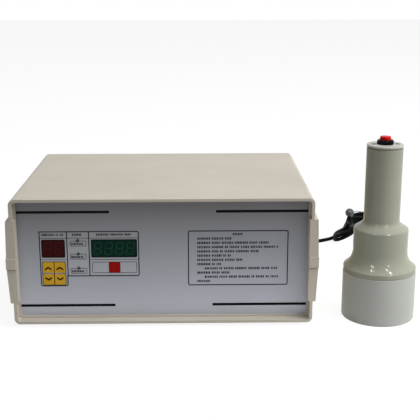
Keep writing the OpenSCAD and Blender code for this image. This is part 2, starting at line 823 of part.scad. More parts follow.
module fan_rotor() color("#242426") at_fan() {
    difference() {
        translate([0, 0, fan_web + 1]) cylinder(r = fan_hub_r, h = fan_depth - fan_web - 4);
        translate([0, 0, fan_web]) cylinder(r = 5, h = 8);
    }
    translate([0, 0, 0.5]) cylinder(r = fan_shaft_r, h = fan_web + 9.5);
    intersection() {
        for (i = [0 : fan_blades - 1])
            rotate(i * 360 / fan_blades) translate([fan_hub_r - 1.5, 0, fan_depth / 2]) rotate([50, 0, 0])
                translate([0, -0.8, -9]) cube([fan_size, 1.6, 18]);
        translate([0, 0, fan_web + 1]) cylinder(r = fan_tip, h = fan_depth - fan_web - 2);
    }
}

guard_wire = 1.1;
guard_stand = 3.2;

module fan_guard() color(steel) on_case() translate([fan_x, rear_face, fan_z]) rotate([-90, 0, 0])
    difference() {
        union() {
            for (i = [1 : 5]) translate([0, 0, guard_stand]) rotate_extrude()
                translate([i * (fan_bore - 1) / 5, 0]) circle(r = guard_wire, $fn = 24);
            for (a = [45 : 90 : 315]) rotate(a) translate([4, -guard_wire, 0])
                cube([fan_hole * sqrt(2) - 4, 2 * guard_wire, guard_stand]);
            for (x = [-1, 1], y = [-1, 1]) translate([x * fan_hole, y * fan_hole, 0])
                cylinder(r = 4.2, h = 1.2);
        }
        for (x = [-1, 1], y = [-1, 1]) translate([x * fan_hole, y * fan_hole, -cut])
            cylinder(r = 2.2, h = 6 * cut);
        for (x = [-1, 1], y = [-1, 1]) translate([x * fan_hole, y * fan_hole, 1.2])
            cylinder(r = 4.2, h = guard_stand);
    }

module fan_screws() color(steel) on_case() for (x = [-1, 1], z = [-1, 1])
    translate([fan_x + x * fan_hole, rear_face + 1.2, fan_z + z * fan_hole]) rotate([-90, 0, 0])
        difference() {
            union() {
                cylinder(r1 = 3.6, r2 = 3, h = 2);
                translate([0, 0, -14]) cylinder(r = 2.05, h = 15);
            }
            for (a = [0, 90]) rotate(a) translate([-1.9, -0.4, 1]) cube([3.8, 0.8, 2]);
        }

module power_inlet() color(black) on_case() translate([inlet_x, 0, socket_z]) difference() {
    union() {
        block_y(0, 0, inlet_w, inlet_h, rear_face - inlet_depth, inlet_depth + inlet_flange / 2);
        block_y(0, 0, inlet_w + 5, inlet_h + 5, rear_face, inlet_flange);
    }
    block_y(0, 0, socket_w, socket_h, rear_face + inlet_flange - socket_depth, socket_depth + cut);
    for (p = pin_places) block_y(p[0], p[1], pin_w + 2 * run_fit, pin_h + 2 * run_fit,
        rear_face - inlet_depth - cut, inlet_depth);
}

module inlet_pins() color(steel) on_case() for (p = pin_places)
    block_y(inlet_x + p[0], socket_z + p[1], pin_w, pin_h, rear_face - inlet_depth - 7,
        inlet_depth + 7 + inlet_flange - socket_depth + pin_l);

module switch_housing() color(black) on_case() translate([switch_x, 0, socket_z]) difference() {
    union() {
        block_y(0, 0, switch_w_out, switch_h_out, rear_face - switch_depth, switch_depth + 1);
        block_y(0, 0, switch_w_out + 4, switch_h_out + 4, rear_face, 2);
        for (z = [-6, 0, 6]) block_y(0, z, 6, 1, rear_face - switch_depth - 7, 8);
    }
    block_y(0, 0, rocker_w + 1, 2 * rocker_r + 0.8, rear_face - switch_depth + 4, switch_depth);
    translate([-switch_w_out, rocker_axis, 0]) rotate([0, 90, 0])
        cylinder(r = rocker_pin_r + run_fit, h = 2 * switch_w_out);
}

module power_rocker() color("#8f1d1d") on_case()
    translate([switch_x, rocker_axis, socket_z]) rotate([rocker_tilt, 0, 0]) {
        rotate([0, 90, 0]) linear_extrude(rocker_w, center = true) intersection() {
            circle(r = rocker_r);
            polygon([[8.8, -2.5], [8.8, 5.4], [0, 3.5], [-8.8, 5.4], [-8.8, -2.5]]);
        }
        translate([-rocker_w / 2 - 1.6, 0, 0]) rotate([0, 90, 0])
            cylinder(r = rocker_pin_r, h = rocker_w + 3.2);
    }

module lead_gland() color(black) on_case() translate([gland_x, 0, gland_z]) {
    translate([0, rear_back - 9, 0]) bar_y(gland_hole - 0.1, panel_t + 9 + cut);
    translate([0, rear_face, 0]) rotate([-90, 0, 0]) cylinder(r = 9.5, h = gland_reach - 3, $fn = 6);
    translate([0, rear_face + gland_reach - 3, 0]) rotate([-90, 0, 0]) cylinder(r1 = 8, r2 = 7, h = 3);
}

module gland_nut() color(black) on_case() translate([gland_x, rear_back - 5, gland_z]) difference() {
    rotate([-90, 0, 0]) cylinder(r = 9.5, h = 5, $fn = 6);
    translate([0, -cut, 0]) bar_y(gland_hole - 0.1 + run_fit, 5 + 2 * cut);
}

// A tapered rubber sleeve with grip rings, along +Z from a wide foot to the lead
module sleeve(length, foot, tip) {
    rings = 5;
    pitch = length / (rings + 1);
    function at(z) = foot + (tip - foot) * z / length;
    rotate_extrude() polygon(concat(
        [[0, 0], [foot, 0]],
        [for (i = [0 : rings - 1]) let (z = (i + 0.55) * pitch) each [
            [at(z), z], [at(z) - 0.8, z + 0.2 * pitch], [at(z) - 0.8, z + 0.5 * pitch],
            [at(z + 0.7 * pitch), z + 0.7 * pitch]]],
        [[tip, length], [0, length]]));
}

module case_strain_relief() color(black) on_case()
    translate([gland_x, rear_face + gland_reach, gland_z]) rotate([-90, 0, 0])
        sleeve(relief_case_l, 5.6, lead_r + 0.9);

// Sealing head

module coil_cup() color(cup_grey) on_head() rotate_extrude($fn = 128) polygon(concat(
    [[recess_r, 0]], [[cup_r - edge_r, 0]],
    arc([cup_r - edge_r, edge_r], edge_r, -90, 0, 6),
    [[cup_r, cup_h - 0.4], [cup_r - 0.4, cup_h], [cup_inner, cup_h], [cup_inner, recess_depth],
    [recess_r, recess_depth]]));

module sealing_plate() color("#d9d4c2") on_head() translate([0, 0, recess_depth])
    cylinder(r = cup_inner - fit, h = plate_t);

coil_z = recess_depth + plate_t;
coil_inner = 8;
coil_pitch = (cup_inner - 4 - coil_inner) / coil_turns;

module sealing_coil() color("#b8733a") on_head() translate([0, 0, coil_z]) rotate_extrude() {
    for (i = [0 : coil_turns - 1])
        translate([coil_inner + i * coil_pitch, 0]) square([coil_pitch - 0.6, coil_t]);
    translate([coil_inner, 0]) square([coil_turns * coil_pitch - 0.6, coil_t / 2]);
}

module ferrite_core() color("#3c3c40") on_head() {
    translate([0, 0, coil_z + coil_t]) cylinder(r = cup_inner - 2, h = ferrite_t);
    translate([0, 0, coil_z]) cylinder(r = coil_inner - 0.5, h = coil_t + cut);
}

// Outline of the head's upper body: band, shoulder, waist, second shoulder and handle
head_outline = concat(
    [[cup_r - 0.4, cup_h], [cup_r, cup_h + 0.4]],
    curve([cup_r, shoulder_z - 0.5], [cup_r, shoulder_z + 1.7], [waist_r, shoulder_z + 7.5],
        [waist_r, shoulder_end], 14),
    curve([waist_r, waist_top - 0.5], [waist_r, waist_top + 5.5], [handle_r, waist_top + 4],
        [handle_r, waist_top + 14], 14),
    [[handle_r, handle_top - 0.4], [handle_r - 0.4, handle_top]]);
head_hollow = [
    [handle_r - head_wall, handle_top], [handle_r - head_wall, waist_top + 6],
    [waist_r - head_wall, waist_top - 5], [waist_r - head_wall, shoulder_end - 4],
    [cup_inner - fit - head_wall, shoulder_z - 2], [cup_inner - fit - head_wall, cup_h - spigot_h],
    [cup_inner - fit, cup_h - spigot_h], [cup_inner - fit, cup_h]];

module at_cap_screws() for (s = [-1, 1]) translate([s * cap_screw_x, 0, 0]) children();

module head_body() color(head_beige) on_head() difference() {
    union() {
        rotate_extrude($fn = 128) polygon(concat(head_outline, head_hollow));
        intersection() {
            at_cap_screws() translate([0, 0, handle_top - cap_boss_l])
                cylinder(r = cap_boss_r, h = cap_boss_l);
            cylinder(r = handle_r - head_wall / 2, h = handle_top);
        }
    }
    at_cap_screws() translate([0, 0, handle_top - cap_boss_l + 3])
        cylinder(r = small_screw_r + run_fit, h = cap_boss_l);
    translate([0, waist_r - 2 * head_wall, relief_z]) bar_y(relief_hole, 4 * head_wall);
}

module handle_cap() color(cup_grey) on_head() difference() {
    translate([0, 0, handle_top]) rotate_extrude($fn = 128) polygon([
        [0, 0], [handle_r - 0.4, 0], [handle_r, 0.4], [handle_r, cap_t - 0.6],
        [handle_r - 0.6, cap_t], [0, cap_t]]);
    translate([0, 0, handle_top - cut]) cylinder(r = barrel_r + 0.1, h = cap_t + 2 * cut);
    at_cap_screws() {
        translate([0, 0, handle_top - cut]) cylinder(r = small_screw_r + fit, h = cap_t + 2 * cut);
        translate([0, 0, cap_top - 1.6]) cylinder(r1 = small_screw_r + fit, r2 = 3.1, h = 1.61);
    }
}

module cap_screws() color(steel) on_head() at_cap_screws() difference() {
    union() {
        translate([0, 0, cap_top - 1.5]) cylinder(r1 = small_screw_r, r2 = 2.9, h = 1.45);
        translate([0, 0, cap_top - 14]) cylinder(r = small_screw_r, h = 12.6);
    }
    for (a = [20, 110]) rotate(a) translate([-1.8, -0.35, cap_top - 0.9]) cube([3.6, 0.7, 1.5]);
}

module button_collar() color(black) on_head() difference() {
    rotate_extrude() polygon(concat(
        [[button_stem_r + run_fit, button_floor - 4], [barrel_r - 1.4, button_floor - 4],
        [barrel_r - 1.4, button_floor], [barrel_r, button_floor + 1], [barrel_r, cap_top],
        [collar_r, cap_top], [collar_r, cap_top + 0.35 * collar_h]],
        curve([collar_r, cap_top + 0.45 * collar_h], [collar_r, cap_top + 0.8 * collar_h],
            [collar_r - 0.8, cap_top + collar_h], [collar_r - 1.9, cap_top + collar_h], 6),
        [[collar_bore, cap_top + collar_h], [collar_bore, button_floor],
        [button_stem_r + run_fit, button_floor]]));
    for (i = [0 : rib_count - 1]) rotate(i * 360 / rib_count)
        translate([collar_r + 0.35, 0, cap_top + 0.6]) cylinder(r = 0.75, h = collar_h, $fn = 16);
}

module button_nut() color(steel) on_head() translate([0, 0, handle_top - 2.5]) difference() {
    rotate(30) cylinder(r = barrel_r + 2.1, h = 2.5, $fn = 6);
    translate([0, 0, -cut]) cylinder(r = barrel_r + run_fit, h = 2.5 + 2 * cut);
}

module trigger_button() color("#e1322a") on_head() {
    translate([0, 0, button_bottom]) rotate_extrude() polygon(concat(
        [[0, 0], [button_r, 0]],
        arc([button_r - 1, cap_top + collar_h + button_show - button_bottom - 1], 1, 0, 90, 6),
        [[0, cap_top + collar_h + button_show - button_bottom]]));
    translate([0, 0, button_floor - 6]) cylinder(r = button_stem_r, h = button_bottom - button_floor + 7);
}

spring_r = (button_r + button_stem_r) / 2;
spring_l = button_bottom - button_floor - 2 * spring_wire - 0.2;

module button_spring() color(steel) on_head()
    tube([for (i = [0 : 12 * spring_turns]) [spring_r * cos(30 * i), spring_r * sin(30 * i),
        button_floor + spring_wire + 0.1 + spring_l * i / (12 * spring_turns)]], spring_wire, 6);

module head_strain_relief() color(black) on_head() translate([0, 0, relief_z]) {
    translate([0, waist_r - 2 * head_wall - 1, 0]) bar_y(relief_hole - 0.1, 2 * head_wall + 1.2);
    translate([0, waist_r - head_wall - 4.2, 0]) bar_y(relief_hole + 1.8, 3);
    translate([0, waist_r + 0.1, 0]) rotate([-90, 0, 0]) sleeve(relief_l - 0.1, 7, lead_r + 0.9);
}

// Lead

module on_hank() translate([hank_near[0], hank_near[1], 0]) rotate(hank_angle) children();

module lead_case_run() color(black) tube(case_run, lead_r, 10);

module lead_head_run() color(black) tube(through(head_run, 2), lead_r, 10);

module lead_hank() color(black) on_hank() {
    near_half = hank_near_r + lead_r;
    far_half = hank_far_r + lead_r;
    join = 0.8 * lead_d;
    translate([0, 0, hank_near_z]) rotate([-hank_tilt, hank_dip, 0])
        linear_extrude(2 * lead_d, center = true) {
            circle(r = near_half);
            polygon([[0, -near_half], [hank_neck + join, -bundle_half],
                [hank_neck + join, bundle_half], [0, near_half]]);
        }
    translate([hank_neck, -bundle_half, bundle_mid - bundle_h / 2])
        cube([hank_waist, 2 * bundle_half, bundle_h]);
    translate([hank_neck + hank_waist, 0, 0]) rotate(-hank_bend) linear_extrude(2 * lead_d) {
        translate([hank_tail, 0]) circle(r = far_half);
        polygon([[-join, -bundle_half], [hank_tail, -far_half], [hank_tail, far_half],
            [-join, bundle_half]]);
    }
}

module hank_tie() color("#2a2a2c") on_hank() translate([hank_neck + hank_waist / 2, 0, 0]) {
    half = bundle_half + fit;
    top = tie_t + 2 * fit + bundle_h;
    translate([-tie_w / 2, 0, 0]) difference() {
        translate([0, -half - tie_t, 0]) cube([tie_w, 2 * (half + tie_t), top + tie_t]);
        translate([-cut, -half, tie_t]) cube([tie_w + 2 * cut, 2 * half, top - tie_t]);
    }
    translate([0, 0, top]) cylinder(r1 = tie_foot_r, r2 = tie_neck_r, h = tie_neck_l);
    translate([0, 0, top + tie_neck_l]) sphere(r = tie_ball_r);
}

lower_shell();
upper_shell();
rubber_feet();
case_screws();
front_panel();
rear_panel();
panel_print();
red_display();
green_display();
fault_lights();
display_board();
board_standoffs();
board_screws();
key_switches();
up_key_left();
up_key_right();
down_key_left();
down_key_right();
clear_key();
main_board();
inner_screws();
heat_sink();
power_transistors();
bridge_rectifier();
filter_capacitors();
resonant_capacitor();
output_core();
output_winding();
control_core();
control_winding();
fan_frame();
fan_rotor();
fan_guard();
fan_screws();
power_inlet();
inlet_pins();
switch_housing();
power_rocker();
lead_gland();
gland_nut();
case_strain_relief();
coil_cup();
sealing_plate();
sealing_coil();
ferrite_core();
head_body();
handle_cap();
cap_screws();
button_collar();
button_nut();
button_spring();
trigger_button();
head_strain_relief();
lead_case_run();
lead_hank();
hank_tie();
lead_head_run();
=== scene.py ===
import math
import random
import bmesh
import bpy
from mathutils import Matrix, Vector


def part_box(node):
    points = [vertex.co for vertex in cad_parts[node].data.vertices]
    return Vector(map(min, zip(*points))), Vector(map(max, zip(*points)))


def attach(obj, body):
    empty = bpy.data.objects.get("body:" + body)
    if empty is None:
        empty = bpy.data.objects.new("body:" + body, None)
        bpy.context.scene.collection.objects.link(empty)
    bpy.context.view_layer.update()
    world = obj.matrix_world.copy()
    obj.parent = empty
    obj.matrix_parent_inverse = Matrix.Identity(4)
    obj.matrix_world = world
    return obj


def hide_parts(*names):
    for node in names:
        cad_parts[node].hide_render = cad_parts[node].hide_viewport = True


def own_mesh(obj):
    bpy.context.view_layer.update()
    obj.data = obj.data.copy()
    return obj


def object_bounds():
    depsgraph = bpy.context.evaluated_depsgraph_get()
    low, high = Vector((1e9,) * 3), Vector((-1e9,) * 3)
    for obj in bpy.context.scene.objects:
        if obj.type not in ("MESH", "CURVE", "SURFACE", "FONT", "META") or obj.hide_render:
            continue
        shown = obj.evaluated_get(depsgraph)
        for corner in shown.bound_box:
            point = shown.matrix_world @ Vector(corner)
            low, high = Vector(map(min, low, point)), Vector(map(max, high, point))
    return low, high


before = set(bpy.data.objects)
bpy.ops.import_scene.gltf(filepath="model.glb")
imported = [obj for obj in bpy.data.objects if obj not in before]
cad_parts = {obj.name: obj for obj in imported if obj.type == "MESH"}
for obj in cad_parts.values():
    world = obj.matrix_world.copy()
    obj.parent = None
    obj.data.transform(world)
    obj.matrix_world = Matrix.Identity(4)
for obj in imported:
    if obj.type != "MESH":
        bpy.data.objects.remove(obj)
cad_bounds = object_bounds()
scene = bpy.context.scene

# Frame of the case and axis of the sealing head, in metres
MM = 0.001
shell_low, shell_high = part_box("upper_shell")
CASE_X = (shell_low.x + shell_high.x) / 2
CASE_FRONT = shell_low.y
CASE_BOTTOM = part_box("lower_shell")[0].z
cup_low, cup_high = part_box("coil_cup")
HEAD_AXIS = Vector(((cup_low.x + cup_high.x) / 2, (cup_low.y + cup_high.y) / 2, 0))
PANEL_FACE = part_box("front_panel")[0].y

# Layout of the front panel, in millimetres from the case's middle and bottom
GROUP_LEFT, FAULT_LEFT, COUNT_LEFT, GROUP_RIGHT = -132, -102.4, -79, -25.6
GROUP_TOP, GROUP_LOW, COUNT_LOW = 100.2, 38.5, 49.7
HEADER_Z, DIVIDER_Z = 92.5, 68.6
NOTE_LEFT, NOTE_RIGHT = 26.5, 134
BAR_END, TITLE_HALF, FOOT_TITLE_HALF = 154.5, 56.6, 52.7
TOP_BAR_Z, LOW_BAR_Z, BAR_H = 121.2, 16.6, 2.8
FAULT_MID = (FAULT_LEFT + COUNT_LEFT) / 2
FAULT_Z = (89.6, 74.9, 58.9)
FAULT_BOX_W, FAULT_BOX_H = 17.3, 6
FAULT_LABEL_HALF, FAULT_LABEL_DROP = 7.4, 3.4
CLEAR_MID, CLEAR_Z = -52.3, 59.6
CLEAR_W, CLEAR_H = 47.9, 12.6
LINE_W, FINE_LINE_W, KEY_LINE_W, LENS_RIM_W = 1.1, 0.5, 0.7, 0.6
FRAME_R, CLEAR_R, FAULT_BOX_R, KEY_FRAME_R, LENS_FRAME_R = 2.2, 1.5, 0.8, 1.8, 1.6
INK_T, FINE_INK_T = 0.15, 0.135


def on_case(x, y, z):
    """A point given in millimetres from the case's front rim, middle and bottom."""
    return Vector((CASE_X + x * MM, CASE_FRONT + y * MM, CASE_BOTTOM + z * MM))


def on_panel(x, z, proud=0):
    """A point on the front panel's face, or proud of it."""
    return Vector((CASE_X + x * MM, PANEL_FACE - proud * MM, CASE_BOTTOM + z * MM))


def srgb(red, green, blue):
    """A colour of 0 to 255 as the linear colour that the shaders take."""
    def linear(value):
        value /= 255
        return value / 12.92 if value <= 0.04045 else ((value + 0.055) / 1.055) ** 2.4
    return (linear(red), linear(green), linear(blue), 1)


# Camera
CAMERA_PLACE = Vector((-0.01925, -1.01952, 0.37226))
CAMERA_TARGET = Vector((-0.00478, -0.05377, 0.11318))
CAMERA_ROLL = math.radians(-0.107)
CAMERA_LENS = 76.82


def make_camera():
    camera = bpy.data.objects.new("camera", bpy.data.cameras.new("camera"))
    camera.data.lens = CAMERA_LENS
    turn = (CAMERA_TARGET - CAMERA_PLACE).to_track_quat("-Z", "Y").to_matrix().to_4x4()
    camera.matrix_world = Matrix.Translation(CAMERA_PLACE) @ turn @ Matrix.Rotation(CAMERA_ROLL, 4, "Z")
    scene.collection.objects.link(camera)
    scene.camera = camera


# Shader nodes: the limits that a noise is spread between, and the scale of the patches of roughness
NOISE_LOW, NOISE_HIGH = 0.3, 0.7
PATCH_SCALE = 35


def set_socket(tree, socket, given):
    """Gives a socket a plain value, or links it to another node's socket."""
    if isinstance(given, (int, float, tuple)):
        socket.default_value = given
    else:
        tree.links.new(given, socket)


def noise_node(tree, vector, scale, detail):
    noise = tree.nodes.new("ShaderNodeTexNoise")
    noise.inputs["Detail"].default_value = detail
    tree.links.new(vector, noise.inputs["Vector"])
    set_socket(tree, noise.inputs["Scale"], scale)
    return noise.outputs["Fac"]


def range_node(tree, value, low, high, to_low, to_high):
    """Maps a value between two limits onto two new limits."""
    node = tree.nodes.new("ShaderNodeMapRange")
    names = ("Value", "From Min", "From Max", "To Min", "To Max")
    for name, given in zip(names, (value, low, high, to_low, to_high)):
        set_socket(tree, node.inputs[name], given)
    return node.outputs["Result"]


def math_node(tree, operation, first, second):
    node = tree.nodes.new("ShaderNodeMath")
    node.operation = operation
    set_socket(tree, node.inputs[0], first)
    set_socket(tree, node.inputs[1], second)
    return node.outputs[0]


def mix_colour(tree, factor, first, second):
    node = tree.nodes.new("ShaderNodeMix")
    node.data_type = "RGBA"
    set_socket(tree, node.inputs["Factor"], factor)
    set_socket(tree, node.inputs[6], first)
    set_socket(tree, node.inputs[7], second)
    return node.outputs[2]


def new_group(name, inputs, outputs):
    """An empty shader node group with named sockets, and its input and output nodes."""
    group = bpy.data.node_groups.new(name, "ShaderNodeTree")
    for socket, kind, default in inputs:
        made = group.interface.new_socket(socket, in_out="INPUT", socket_type=kind)
        made.default_value = default
    for socket, kind in outputs:
        group.interface.new_socket(socket, in_out="OUTPUT", socket_type=kind)
    return group, group.nodes.new("NodeGroupInput"), group.nodes.new("NodeGroupOutput")


def make_tone_group():
    """Slow colour changes over a surface, between a light and a dark tone."""
    group, given, result = new_group(
        "uneven_tone",
        (("Vector", "NodeSocketVector", (0, 0, 0)), ("Light", "NodeSocketColor", (1, 1, 1, 1)),
         ("Dark", "NodeSocketColor", (0, 0, 0, 1)), ("Scale", "NodeSocketFloat", 10)),
        (("Color", "NodeSocketColor"), ("Mask", "NodeSocketFloat")))
    slow = noise_node(group, given.outputs["Vector"], given.outputs["Scale"], 3)
    mask = range_node(group, slow, NOISE_LOW, NOISE_HIGH, 0, 1)
    tone = mix_colour(group, mask, given.outputs["Light"], given.outputs["Dark"])
    group.links.new(tone, result.inputs["Color"])
    group.links.new(mask, result.inputs["Mask"])
    return group


def make_grain_group():
    """Fine moulded grain: a height for the bump, and a roughness that changes in patches."""
    group, given, result = new_group(
        "moulded_grain",
        (("Vector", "NodeSocketVector", (0, 0, 0)), ("Scale", "NodeSocketFloat", 900),
         ("Smoothest", "NodeSocketFloat", 0.4), ("Roughest", "NodeSocketFloat", 0.5)),
        (("Height", "NodeSocketFloat"), ("Roughness", "NodeSocketFloat")))
    fine = noise_node(group, given.outputs["Vector"], given.outputs["Scale"], 2)
    patches = noise_node(group, given.outputs["Vector"], PATCH_SCALE, 3)
    rough = range_node(group, patches, NOISE_LOW, NOISE_HIGH, given.outputs["Smoothest"],
                       given.outputs["Roughest"])
    group.links.new(fine, result.inputs["Height"])
    group.links.new(rough, result.inputs["Roughness"])
    return group


tone_group = make_tone_group()
grain_group = make_grain_group()
GRAIN_DEPTH = 0.05 * MM


def finish(name, light, dark, rough, tone_scale=60, grain_scale=1500, grain=0.08, **constants):
    """A finish with uneven tone and fine grain. The constants go straight to the shader's sockets."""
    made = bpy.data.materials.new(name)
    made.use_nodes = True
    tree = made.node_tree
    shader = tree.nodes["Principled BSDF"]
    place = tree.nodes.new("ShaderNodeTexCoord").outputs["Object"]
    tone = tree.nodes.new("ShaderNodeGroup")
    tone.node_tree = tone_group
    surface = tree.nodes.new("ShaderNodeGroup")
    surface.node_tree = grain_group
    bump = tree.nodes.new("ShaderNodeBump")
    for socket, given in (
            (tone.inputs["Vector"], place), (tone.inputs["Light"], srgb(*light)),
            (tone.inputs["Dark"], srgb(*dark)), (tone.inputs["Scale"], tone_scale),
            (surface.inputs["Vector"], place), (surface.inputs["Scale"], grain_scale),
            (surface.inputs["Smoothest"], rough[0]), (surface.inputs["Roughest"], rough[1]),
            (bump.inputs["Height"], surface.outputs["Height"]), (bump.inputs["Strength"], grain),
            (bump.inputs["Distance"], GRAIN_DEPTH), (shader.inputs["Base Color"], tone.outputs["Color"]),
            (shader.inputs["Roughness"], surface.outputs["Roughness"]),
            (shader.inputs["Normal"], bump.outputs["Normal"])):
        set_socket(tree, socket, given)
    for socket, value in constants.items():
        shader.inputs[socket.replace("_", " ")].default_value = value
    return made


# Finishes: a light tone, a dark tone, the limits of the roughness, and the tone's and the grain's scale
SPECULAR = {"Specular_IOR_Level": 0.06}
case_plastic = finish("case_plastic", (211, 203, 190), (206, 197, 183), (0.45, 0.55), 9, 1400, 0.2,
                      Specular_IOR_Level=0.3)
foot_rubber = finish("foot_rubber", (34, 34, 35), (26, 26, 27), (0.7, 0.85), 40, 1200, 0.3)
screw_steel = finish("screw_steel", (188, 190, 194), (160, 162, 166), (0.25, 0.4), 120, 2500, 0.1,
                     Metallic=1)
ink_black = finish("ink_black", (5, 5, 7), (9, 9, 11), (0.45, 0.55), **SPECULAR)
ink_grey = finish("ink_grey", (44, 46, 55), (37, 39, 47), (0.45, 0.55), **SPECULAR)
pale_line = finish("pale_line", (186, 187, 192), (176, 177, 183), (0.4, 0.5), **SPECULAR)
# Dark strips under the rails' bands: painted shadow where the bands overhang
painted_rail_shadow = finish("painted_rail_shadow", (104, 97, 88), (92, 86, 78), (0.5, 0.6), **SPECULAR)
red_lens = finish("red_lens", (62, 8, 9), (50, 5, 7), (0.15, 0.22), 60, 600, 0.02, **SPECULAR)
red_digit = finish("red_digit", (84, 14, 15), (74, 11, 13), (0.2, 0.3), 60, 600, 0.02, **SPECULAR)
green_lens = finish("green_lens", (2, 46, 38), (1, 37, 31), (0.15, 0.22), 60, 600, 0.02, **SPECULAR)
green_digit = finish("green_digit", (14, 70, 54), (10, 60, 46), (0.2, 0.3), 60, 600, 0.02, **SPECULAR)
light_lens = finish("light_lens", (88, 86, 91), (76, 75, 79), (0.15, 0.22), 200, 900, 0.02, **SPECULAR)
circuit_board = finish("circuit_board", (34, 96, 58), (24, 76, 46), (0.3, 0.45), 90, 700, 0.2)
yellow_key = finish("yellow_key", (240, 190, 58), (230, 177, 46), (0.4, 0.5), 80, 1800, **SPECULAR)
key_arrow = finish("key_arrow", (70, 42, 6), (58, 34, 4), (0.4, 0.5), **SPECULAR)
key_gap = finish("key_gap", (132, 76, 8), (116, 64, 6), (0.45, 0.55), **SPECULAR)
red_key = finish("red_key", (172, 20, 16), (156, 15, 12), (0.4, 0.5), 80, 1800, **SPECULAR)
black_plastic = finish("black_plastic", (16, 17, 20), (11, 12, 14), (0.4, 0.55), 40, 1300, 0.15,
                       Specular_IOR_Level=0.12)
rocker_red = finish("rocker_red", (150, 30, 30), (136, 24, 24), (0.3, 0.4), 60, 1200)
sink_aluminium = finish("sink_aluminium", (176, 179, 182), (158, 161, 165), (0.35, 0.5), 80, 1500, 0.2,
                        Metallic=1)
capacitor_blue = finish("capacitor_blue", (36, 50, 78), (28, 40, 64), (0.25, 0.35), 60, 900)
capacitor_film = finish("capacitor_film", (206, 182, 124), (190, 166, 110), (0.35, 0.45), 60, 900)
core_iron = finish("core_iron", (66, 66, 70), (52, 52, 56), (0.5, 0.65), 70, 1500, 0.3)
winding_copper = finish("winding_copper", (190, 122, 66), (160, 96, 46), (0.3, 0.45), 160, 900, 0.3,
                        Metallic=1)
winding_tape = finish("winding_tape", (214, 208, 184), (198, 192, 168), (0.4, 0.5), 90, 900)
guard_chrome = finish("guard_chrome", (196, 198, 202), (178, 180, 184), (0.12, 0.2), 90, 1800, 0.05,
                      Metallic=1)
cup_grey = finish("cup_grey", (197, 199, 193), (190, 192, 186), (0.38, 0.48), 14, 1300, 0.1,
                  Specular_IOR_Level=0.15)
cap_grey = finish("cap_grey", (196, 195, 187), (188, 187, 178), (0.4, 0.5), 30, 1500, 0.12)
sealing_face = finish("sealing_face", (222, 216, 198), (208, 202, 184), (0.4, 0.5), 40, 1100)
head_gloss = finish("head_gloss", (170, 171, 154), (163, 164, 147), (0.3, 0.38), 16, 260, 0.03,
                    Coat_Weight=0.7, Coat_Roughness=0.1, Specular_IOR_Level=0)
button_red = finish("button_red", (230, 26, 12), (216, 20, 9), (0.35, 0.45), 90, **SPECULAR)
lead_black = finish("lead_black", (11, 11, 12), (7, 7, 8), (0.4, 0.55), 50, 1100, 0.15, **SPECULAR)
collar_black = finish("collar_black", (8, 9, 11), (5, 6, 8), (0.12, 0.2), 40, 1300, 0.05,
                      Specular_IOR_Level=0.08)
tie_grey = finish("tie_grey", (88, 89, 91), (70, 71, 73), (0.22, 0.3), 80, 1300, 0.1)
twist_wire = finish("twist_wire", (104, 104, 101), (86, 86, 84), (0.35, 0.45), 80, 1300)
# Dark grey on the cap screws that also stands in for the shade in their countersunk holes: painted shade
screw_painted_shade = finish("screw_painted_shade", (48, 48, 50), (38, 38, 40), (0.35, 0.5), 120, 2500, 0.1, **SPECULAR)
rear_film = finish("rear_film", (166, 168, 174), (158, 160, 166), (0.38, 0.46), 14, 1800, 0.08,
                   Metallic=0.25)


# Front panel's film: where painted shade darkens it towards its top, and how pale the field of the display
# group is
PAINTED_SHADE_LOW, PAINTED_SHADE_TOP = 20, 128
PAINTED_SHADE_TONE = (112, 112, 115)
GROUP_TONE, GROUP_SHARE = (236, 238, 236), 0.06


def make_panel_finish():
    """Satin silver film with painted shade that darkens it towards its top, and a paler field under the display
    group.
    """
    made = finish("panel_film", (188, 191, 201), (183, 186, 196), (0.36, 0.44), 14, 1800, 0.06,
                  Metallic=0.25)
    tree = made.node_tree
    shader = tree.nodes["Principled BSDF"]
    tone = shader.inputs["Base Color"].links[0].from_socket
    texture = next(node for node in tree.nodes if node.type == "TEX_COORD")
    place = tree.nodes.new("ShaderNodeSeparateXYZ")
    tree.links.new(texture.outputs["Object"], place.inputs[0])
    across, up = place.outputs["X"], place.outputs["Z"]

    def field(x0, x1, z0, z1):
        low, high = on_panel(x0, z0), on_panel(x1, z1)
        wide = math_node(tree, "MULTIPLY", math_node(tree, "GREATER_THAN", across, low.x),
                         math_node(tree, "LESS_THAN", across, high.x))
        tall = math_node(tree, "MULTIPLY", math_node(tree, "GREATER_THAN", up, low.z),
                         math_node(tree, "LESS_THAN", up, high.z))
        return math_node(tree, "MULTIPLY", wide, tall)

    # Painted shade, on top of the lamps' own shade from the top rim: the film's colour darkens towards its top
    painted_shade = range_node(tree, up, on_panel(0, PAINTED_SHADE_LOW).z, on_panel(0, PAINTED_SHADE_TOP).z, 0, 1)
    shaded = mix_colour(tree, painted_shade, tone, srgb(*PAINTED_SHADE_TONE))
    group = math_node(tree, "MAXIMUM", field(GROUP_LEFT, FAULT_LEFT, GROUP_LOW, GROUP_TOP),
                      field(FAULT_LEFT, GROUP_RIGHT, COUNT_LOW, GROUP_TOP))
    paler = mix_colour(tree, math_node(tree, "MULTIPLY", group, GROUP_SHARE), shaded, srgb(*GROUP_TONE))
    tree.links.new(paler, shader.inputs["Base Color"])
    return made


panel_film = make_panel_finish()


# Tools for making pieces. A face narrower than NARROW_SHARE times a rounding keeps its sharp edges
MERGE_DISTANCE, SAME_PLACE = 0.002 * MM, 0.01 * MM
FLAT_ANGLE = math.radians(0.4)
NARROW_SHARE = 2.2


